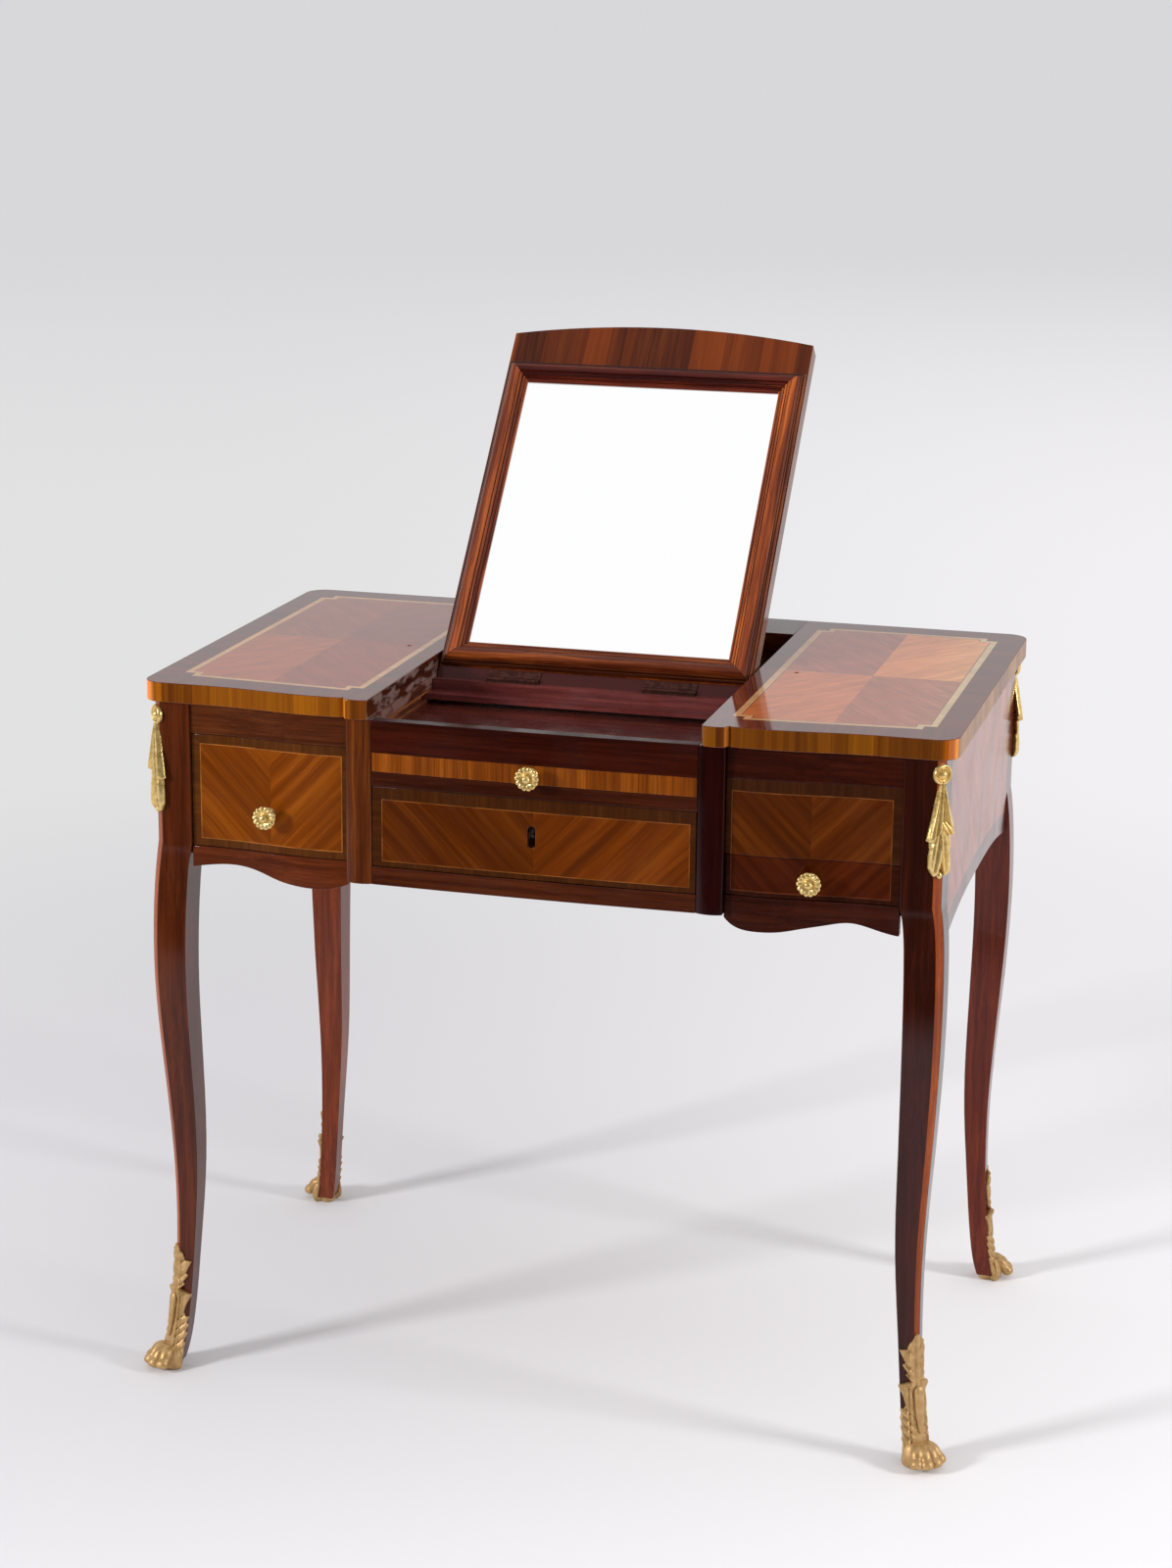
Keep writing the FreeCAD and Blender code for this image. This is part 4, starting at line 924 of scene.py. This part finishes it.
# each cloth: its top, lower edge, half widths, prouds, pleats, tilt and slant
cloths = {
    "under": (690, (636, 630, 629, 630, 634), (4.0, 7.0, 9.6, 10.6), (1.6, 3.2, 4.6, 5.4),
              ((-0.55, 0.3, 0.8), (0.0, 0.28, 1.0), (0.55, 0.3, 0.9)), 0.6, 0.0),
    "tailLeft": (660, (616, 611, 607.5, 608, 613), (3.5, 5.5, 6.6, 6.4, 4.6),
                 (3.4, 5.0, 5.6, 5.8, 4.4), ((-0.55, 0.42, 0.9), (0.25, 0.5, 1.0)), -5.6, 0.1),
    "tailRight": (658, (613, 608, 606.8, 609, 615), (3.2, 5.0, 6.0, 6.0, 4.4),
                  (3.4, 5.4, 6.2, 6.2, 4.8), ((-0.4, 0.4, 1.0), (0.4, 0.5, 0.92)), 5.8, -0.1),
    "left": (698.5, (643, 640.5, 645, 652, 656), (2.4, 3.6, 5.6, 7.4), (3.2, 5.4, 7.0, 7.6),
             ((-0.62, 0.4, 0.85), (0.12, 0.5, 1.0), (0.78, 0.3, 0.7)), -5.6, -0.25),
    "right": (698.5, (656, 650, 649, 655), (2.2, 3.0, 4.0, 5.4), (3.4, 5.4, 6.6, 7.8),
              ((-0.5, 0.36, 0.8), (0.3, 0.6, 1.0)), 7.4, 0.2),
    "curl": (661, (648, 646.5, 649), (3.4, 4.8, 4.0), (6.0, 8.2, 6.6),
             ((-0.3, 0.6, 0.9), (0.5, 0.5, 1.0)), 8.6, 0.0),
}
corners = [(end, side) for end in ("front", "back") for side in ("left", "right")]


def alongCloth(share, values):
    # values given evenly from one end to the other, at any share of the way, in metres
    return np.interp(share, np.linspace(0, 1, len(values)), values) * mm


def clothPart(high, lows, halfWidths, prouds, pleats, tilt, slant):
    # u runs across and v down; each pleat is half an ellipse across the cloth, given by its
    # place and half width, and the lower edge follows lows from left to right
    v, u = np.meshgrid(np.linspace(0, 1, mount["rows"]), np.linspace(-1, 1, mount["columns"]),
                       indexing="ij")
    height = high * mm + (alongCloth((u + 1) / 2, lows) - high * mm) * v
    across = (alongCloth(v, halfWidths) * u + tilt * mm * v ** 1.2) * mount["widen"]
    bent = u + slant * (v - 0.5)
    fold = np.zeros_like(u)
    for place, width, level in pleats:
        fold = np.maximum(fold, level * np.sqrt(np.clip(1 - ((bent - place) / width) ** 2, 0, 1)))
    edge = np.clip((1 - np.abs(u)) / mount["rim"], 0, 1) ** 0.5
    hem = np.clip((v - mount["hemFrom"]) / (1 - mount["hemFrom"]), 0, 1) ** 2
    proud = edge * (1 - mount["hemCut"] * hem) * (mount["flat"] + (1 - mount["flat"]) * fold)
    out = alongCloth(v, prouds) * proud
    front = np.stack([across, height, out + mount["thick"]], axis=-1)
    back = np.stack([across, height, np.full_like(out, -mount["sink"])], axis=-1)
    return slab(front, back)


def mountParts():
    # the disc is turned about the line it faces along, the bud below about an upright one
    profile = smoothThrough(np.array(mount["disc"]) * mm, mount["rows"])
    points, faces = lathe(profile, mount["turns"])
    disc = points + np.array([0, mount["discHeight"], 0]), faces
    share = np.linspace(0, 1, mount["budTurns"])
    wide, long = mount["bud"]
    bud = np.stack([wide * np.sin(math.pi * share) ** 0.7, long * share], axis=-1)
    points, faces = lathe(bud, mount["budTurns"])
    bud = points[:, [0, 2, 1]] * np.array([1, 1, 0.8]) + np.array(mount["budPlace"]), faces
    return [disc, *(clothPart(*values) for values in cloths.values()), bud]


def legSection(nodeName, height):
    # where the leg's mesh crosses a height: its outer faces, its cut corner and its size
    mesh = nodes[nodeName].data
    points = np.zeros(len(mesh.vertices) * 3)
    mesh.vertices.foreach_get("co", points)
    ends = np.zeros(len(mesh.edges) * 2, int)
    mesh.edges.foreach_get("vertices", ends)
    start, stop = points.reshape(-1, 3)[ends.reshape(-1, 2).T]
    rise = stop[:, 2] - start[:, 2]
    crosses = ((start[:, 2] - height) * (stop[:, 2] - height) <= 0) & (np.abs(rise) > 1e-9)
    share = ((height - start[:, 2])[crosses] / rise[crosses])[:, None]
    cut = np.abs(start[crosses] + (stop - start)[crosses] * share)
    x, y = cut[:, 0].max(), cut[:, 1].max()
    corner = x + y - (cut[:, 0] + cut[:, 1]).max()
    return dict(x=x, y=y, inX=cut[:, 0].min(), inY=cut[:, 1].min(), chamfer=corner)


def makeMount(end, side):
    # the cast faces away from the leg's cut corner, left and right ones as mirror images
    nodeName = "corner_mount_%s_%s" % (end, side)
    sideX = 1 if side == "right" else -1
    sideY = 1 if end == "back" else -1
    section = legSection("leg_%s_%s" % (end, side), mount["sectionAt"])
    cut = section["chamfer"] / 2
    corner = (sideX * (section["x"] - cut), sideY * (section["y"] - cut), 0)
    facing = np.array([sideX, sideY, 0]) / math.sqrt(2)
    tangent = np.cross([0, 0, 1], facing) * (sideX * -sideY)
    parts = [placed(part, (tangent, (0, 0, 1), facing), corner) for part in mountParts()]
    dress(buildPiece(nodeName + "_cast", parts), finish["gilt"], nodeName)


for end, side in corners:
    makeMount(end, side)
print("corner mounts made")


# Feet: two tiers of leaves that clasp the leg's outer faces, and a lion's paw

foot = dict(base=8 * mm, sink=0.6 * mm, heading=math.pi / 4, steps=40, turns=28, flat=0.92,
            toes=((-35, 0.93), (-11.5, 1.0), (11.5, 1.0), (35, 0.93)),
            toePath=((6, 20), (13, 21), (18.5, 18.5), (22.6, 13.6), (26.2, 9.6), (28.2, 5.6)),
            toeWidths=(5.0, 6.0, 6.4, 5.9, 6.7, 5.2), insteps=72, behind=0.5,
            instep=((0, 0), (12, 0), (16, 2), (18, 7), (18, 12), (16.5, 17.5), (14, 22.5),
                    (10, 25.5), (0, 26)),
            screws=((1.5, 122), (-8.5, 38)),
            screw=((2.1, -1.2), (2.2, 0.9), (1.7, 1.3), (1.25, 0.7), (1.15, 0.2), (0.7, 0.9),
                   (0, 1.1)))
leaf = dict(rows=120, columns=110, split=0.9, depth=1.9, bare=2.5, swell=3.5, ripple=0.16,
            ripples=2.4, curlFrom=0.86, curlWidth=8, thick=0.9, rim=0.07, rimThick=0.8)
tiers = (
    dict(low=78, high=136, curl=1.2, top=134, drop=0.5, ridges=((0, 1.7, 2.6), (5.2, 1.2, 1.6)),
         heights=(78, 86, 89, 93, 95, 103, 105, 118.5, 119.5, 122, 127, 128, 131, 136),
         widths=(4.5, 4.5, 7.5, 11.5, 9, 14.5, 11.5, 17.5, 9.5, 9.5, 7.2, 6, 4.2, 0.8),
         lines=(60, 80, 86, 94, 111, 122, 130, 145)),
    dict(low=7, high=87, curl=3.4, top=84, drop=1.2, ridges=((6.2, 1.2, 2.4), (9.4, 1.1, 1.2)),
         heights=(7, 18, 24, 29, 30, 40, 41, 49, 50, 57, 58.5, 62, 70, 82, 84, 87),
         widths=(19.5, 19.2, 18, 19, 17, 18.8, 17, 19, 17, 18.5, 14, 12.4, 14.4, 19.4, 13, 6),
         lines=(-20, 8, 18.8, 28.9, 37, 46.8, 72, 95)),
)
tip = dict(low=34, length=49, widest=0.86, half=3.7, proud=2.6, swell=3.6, rows=48, turns=40)


def legSkin(leg, heights):
    # columns of the leg's section at each height, from its CAD mesh
    rows = [legSection(leg, float(height)) for height in heights]
    skin = {key: np.array([row[key] for row in rows])[:, None] for key in rows[0]}
    return dict(skin, height=heights[:, None])


def claspedPoints(skin, across, proud):
    # across is measured along the leg's outer faces from the middle of its cut corner, and
    # proud stands off along a direction that turns smoothly from one face to the other
    half = skin["chamfer"] / math.sqrt(2)
    cut = skin["chamfer"] / 2
    along = np.clip(across / half, -1, 1)
    beyond = np.maximum(np.abs(across) - half, 0) * np.sign(across)
    x = skin["x"] - cut + cut * along - np.maximum(-beyond, 0)
    y = skin["y"] - cut - cut * along - np.maximum(beyond, 0)
    blend = np.clip(across / (half * 2.2), -1, 1)
    angle = math.pi / 4 - math.pi / 4 * blend * (1.5 - 0.5 * blend ** 2)
    return np.stack([x + proud * np.cos(angle), y + proud * np.sin(angle),
                     skin["height"] + 0 * across], axis=-1)


def leafPart(leg, values):
    # lobes swell between lines that rise away from the middle; ridges run up the middle
    heights = np.linspace(values["low"], values["high"], leaf["rows"])[:, None]
    skin = legSkin(leg, heights[:, 0] * mm)
    u = np.linspace(-1, 1, leaf["columns"])[None, :]
    across = u * np.interp(heights, values["heights"], values["widths"])
    wide = np.abs(across)
    share = (heights - values["low"]) / (values["high"] - values["low"])
    lines = np.array(values["lines"], float)
    level = np.clip(heights - leaf["split"] * wide, lines[0] + 0.01, lines[-1] - 0.01)
    index = np.searchsorted(lines, level) - 1
    inside = (level - lines[index]) / (lines[index + 1] - lines[index])
    beside = np.clip((wide - leaf["bare"]) / leaf["swell"], 0, 1)
    puff = leaf["depth"] * np.sin(math.pi * inside) ** 0.5
    fine = leaf["ripple"] * np.cos(level * leaf["ripples"])
    rib = sum(size * np.exp(-((wide - place) / width) ** 2)
              for place, width, size in values["ridges"])
    rise = (heights / values["top"] - leaf["curlFrom"]) / (1 - leaf["curlFrom"])
    curl = values["curl"] * np.clip(rise, 0, 1) ** 1.5 * np.clip(wide / leaf["curlWidth"], 0, 1)
    proud = leaf["thick"] + rib + (puff + fine) * beside + curl + values["drop"] * (1 - share)
    edge = np.clip((1 - np.abs(u)) / leaf["rim"], 0, 1) ** 0.5
    proud = leaf["rimThick"] + (proud - leaf["rimThick"]) * (0.5 + 0.5 * edge)
    return slab(claspedPoints(skin, across * mm, proud * mm),
                claspedPoints(skin, across * mm, -foot["sink"]))


def tipPart(leg):
    # the curled tip in the middle of the lower leaves: a tear with its round end up
    v, u = np.meshgrid(np.linspace(0, 1, tip["rows"]), fullTurn(tip["turns"]), indexing="ij")
    widest = tip["widest"]
    far = (v - widest) / np.where(v > widest, 1 - widest, widest)
    swell = np.sqrt(np.clip(1 - far ** 2, 0, 1))
    skin = legSkin(leg, (tip["low"] + tip["length"] * v[:, 0]) * mm)
    proud = tip["proud"] + tip["swell"] * swell * np.sin(u)
    points = claspedPoints(skin, tip["half"] * swell * np.cos(u) * mm, proud * mm)
    return points.reshape(-1, 3), gridFaces(tip["rows"], tip["turns"], wrap=True)


def tubePart(path, angle, centre):
    # a round toe along a path of radius and height in the upright plane at an angle
    steps = foot["steps"]
    line = smoothThrough(np.column_stack([path, foot["toeWidths"]]) * mm, steps)
    reach, height, width = line.T
    slope = np.stack([np.gradient(reach), np.gradient(height)], axis=-1)
    slope /= np.linalg.norm(slope, axis=1, keepdims=True)
    cap = np.sqrt(np.clip(1 - np.linspace(-1, 1, steps) ** 24, 0, 1))
    turn = fullTurn(foot["turns"])[None, :]
    side = (width * cap)[:, None] * np.cos(turn)
    over = (width * cap * foot["flat"])[:, None] * np.sin(turn)
    radius = reach[:, None] - over * slope[:, 1:]
    level = np.maximum(height[:, None] + over * slope[:, :1], 0)
    away = np.array([math.cos(angle), math.sin(angle)])
    beside = np.array([-away[1], away[0]])
    flatPlace = np.array(centre) + radius[..., None] * away + side[..., None] * beside
    points = np.concatenate([flatPlace, level[..., None]], axis=-1)
    return points.reshape(-1, 3), gridFaces(steps, foot["turns"], wrap=True)


def pawParts(centre):
    # four toes with knuckles, and the instep that joins them to the leg
    heading = foot["heading"]
    parts = []
    for degrees, share in foot["toes"]:
        path = np.array(foot["toePath"]) * (share, 1)
        parts.append(tubePart(path, heading + math.radians(degrees), centre))
    profile = smoothThrough(np.array(foot["instep"]) * mm, foot["steps"])
    points, faces = lathe(np.maximum(profile, 0), foot["insteps"])
    ahead = points[:, 0] * math.cos(heading) + points[:, 1] * math.sin(heading)
    points[ahead < 0, :2] *= foot["behind"]
    return parts + [(points + np.array([*centre, 0.0]), faces)]


def screwPart(leg, across, height):
    # a small ringed screw head standing on the leaf
    skin = legSkin(leg, np.array([height * mm]))
    base, over = claspedPoints(skin, np.full((1, 2), across * mm), np.array([[1.9, 2.9]]) * mm)[0]
    facing = (over - base) / np.linalg.norm(over - base)
    part = lathe(smoothThrough(np.array(foot["screw"]) * mm, 26), 24)
    tangent = np.cross((0, 0, 1), facing)
    return placed(part, (tangent, np.cross(facing, tangent), facing), base)


def makeFoot(end, side):
    # made for the corner where x and y are positive, then flipped to its own
    leg = "leg_%s_%s" % (end, side)
    base = legSection(leg, foot["base"])
    centre = ((base["x"] + base["inX"]) / 2, (base["y"] + base["inY"]) / 2)
    parts = [*(leafPart(leg, values) for values in tiers), tipPart(leg), *pawParts(centre),
             *(screwPart(leg, *screw) for screw in foot["screws"])]
    flip = np.array([1 if side == "right" else -1, 1 if end == "back" else -1, 1])
    nodeName = "sabot_%s_%s" % (end, side)
    piece = buildPiece(nodeName + "_cast", [(points * flip, faces) for points, faces in parts])
    dress(piece, finish["dullGilt"], nodeName)


for end, side in corners:
    makeFoot(end, side)
print("feet made")


# Floor, light and camera

stage = dict(radius=14.0, fadeFrom=0.9, fadeTo=2.6, floorTone=(235, 234, 236),
             left=(226, 226, 227), right=(243, 241, 244), far=(216, 215, 218),
             darkFrom=-1.1, darkTo=-1.9, dark=0.93, leftShadedTone=(214, 213, 216), eye=(0.81, 3.05),
             sideways=(-0.42, -0.02), tintSideways=(-0.42, -0.12), farFrom=4.0)


def makeFloor():
    # rings about the table, flat on the ground; brighter towards the right, dimmer far away
    radius = np.concatenate([[0.0], np.geomspace(0.4, stage["radius"], 24)])
    mesh = newMesh("floor", *lathe(np.column_stack([radius, 0 * radius]), 96))
    floor = bpy.data.objects.new("floor", mesh)
    material = newMaterial("pale floor")
    x, y, z = split(objectPlace())
    away = calc("SQRT", x * x + y * y)
    fade = between(away, stage["fadeFrom"], stage["fadeTo"])
    light = add("LightPath").outputs
    camera, glossy, through = (Value(light["Is %s Ray" % kind])
                               for kind in ("Camera", "Glossy", "Transmission"))
    turn = (x - stage["eye"][0]) / (abs(y) + stage["eye"][1])
    pale = blended(between(turn, *stage["sideways"]), stage["left"], stage["right"])
    pale = blended(between(away, stage["farFrom"], stage["radius"]), pale, stage["far"])
    inFront = between(y, stage["darkTo"], stage["darkFrom"], 1.0, 0.0) * glossy
    # painted shade: the floor's own colour darker towards the left
    tint = blended(between(turn, *stage["tintSideways"]), stage["leftShadedTone"], stage["floorTone"])
    matt = add("BsdfDiffuse", {"Color": tint})
    glow = add("Emission", {"Color": pale, "Strength": inFront * -stage["dark"] + 1.0})
    share = largest(fade, inFront) * largest(camera, glossy, through)
    mixed = add("MixShader", (share, output(matt), output(glow)))
    add("OutputMaterial", [output(mixed)])
    mesh.materials.append(material)
    scene.collection.objects.link(floor)


sky = dict(front=0.04, back=0.76, top=0.5, diffuse=0.74, tone=(255, 254, 255))


def makeWorld():
    # a studio that is bright behind and above the table and dim in front of it
    scene.world = newTree(bpy.data.worlds.new("studio"))
    x, y, z = split(Value(add("TexCoord").outputs["Generated"]))
    level = largest(between(y, -0.1, 0.4, sky["front"], sky["back"]),
                    between(z, 0.6, 0.8, 0.0, sky["top"]))
    light = add("LightPath").outputs
    diffuse = Value(light["Is Diffuse Ray"])
    level = (1.0 - diffuse) * level + diffuse * sky["diffuse"]
    around = add("Background", {"Color": sky["tone"], "Strength": level})
    seen = add("Background", {"Color": stage["far"]})
    mixed = add("MixShader", (Value(light["Is Camera Ray"]), output(around), output(seen)))
    add("OutputWorld", [output(mixed)])


lamps = {
    "leftBox": dict(at=(-3.0, -2.9, 1.95), size=0.7, power=128),
    "rightBox": dict(at=(3.3, -0.5, 1.5), size=0.6, power=58),
}
lampAim = (0, 0, 0.45)


def makeLamp(name, at, size, power):
    # a square lamp of size metres that faces lampAim
    data = bpy.data.lights.new(name, "AREA")
    data.size = size
    data.energy = power
    lamp = bpy.data.objects.new(name, data)
    lamp.location = at
    lamp.rotation_euler = (Vector(lampAim) - Vector(at)).to_track_quat("-Z", "Y").to_euler()
    scene.collection.objects.link(lamp)


view = dict(place=(813.29 * mm, -3046.96 * mm, 1436.13 * mm), yaw=15.19968, pitch=14.75364,
            roll=0.62025, focal=3197.3, frameHeight=1600)


def makeCamera():
    # turned left by yaw and down by pitch, with its right side raised by roll; the focal
    # length is in pixels of the frame
    yaw, pitch, roll = (math.radians(view[key]) for key in ("yaw", "pitch", "roll"))
    ahead = Vector((-math.sin(yaw) * math.cos(pitch), math.cos(yaw) * math.cos(pitch),
                    -math.sin(pitch)))
    level = Vector((math.cos(yaw), math.sin(yaw), 0))
    upright = level.cross(ahead)
    right = level * math.cos(roll) + upright * math.sin(roll)
    overhead = upright * math.cos(roll) - level * math.sin(roll)
    data = bpy.data.cameras.new("camera")
    data.sensor_fit = "VERTICAL"
    data.sensor_height = 36
    data.lens = view["focal"] / view["frameHeight"] * data.sensor_height
    data.clip_end = 100
    camera = bpy.data.objects.new("camera", data)
    turn = Matrix((right, overhead, -ahead)).transposed().to_4x4()
    camera.matrix_world = Matrix.Translation(Vector(view["place"])) @ turn
    scene.collection.objects.link(camera)
    scene.camera = camera


makeFloor()
makeWorld()
for name, values in lamps.items():
    makeLamp(name, **values)
makeCamera()
scene.view_settings.view_transform = "Standard"
print("stage, lamps and camera set")

bpy.context.view_layer.update()
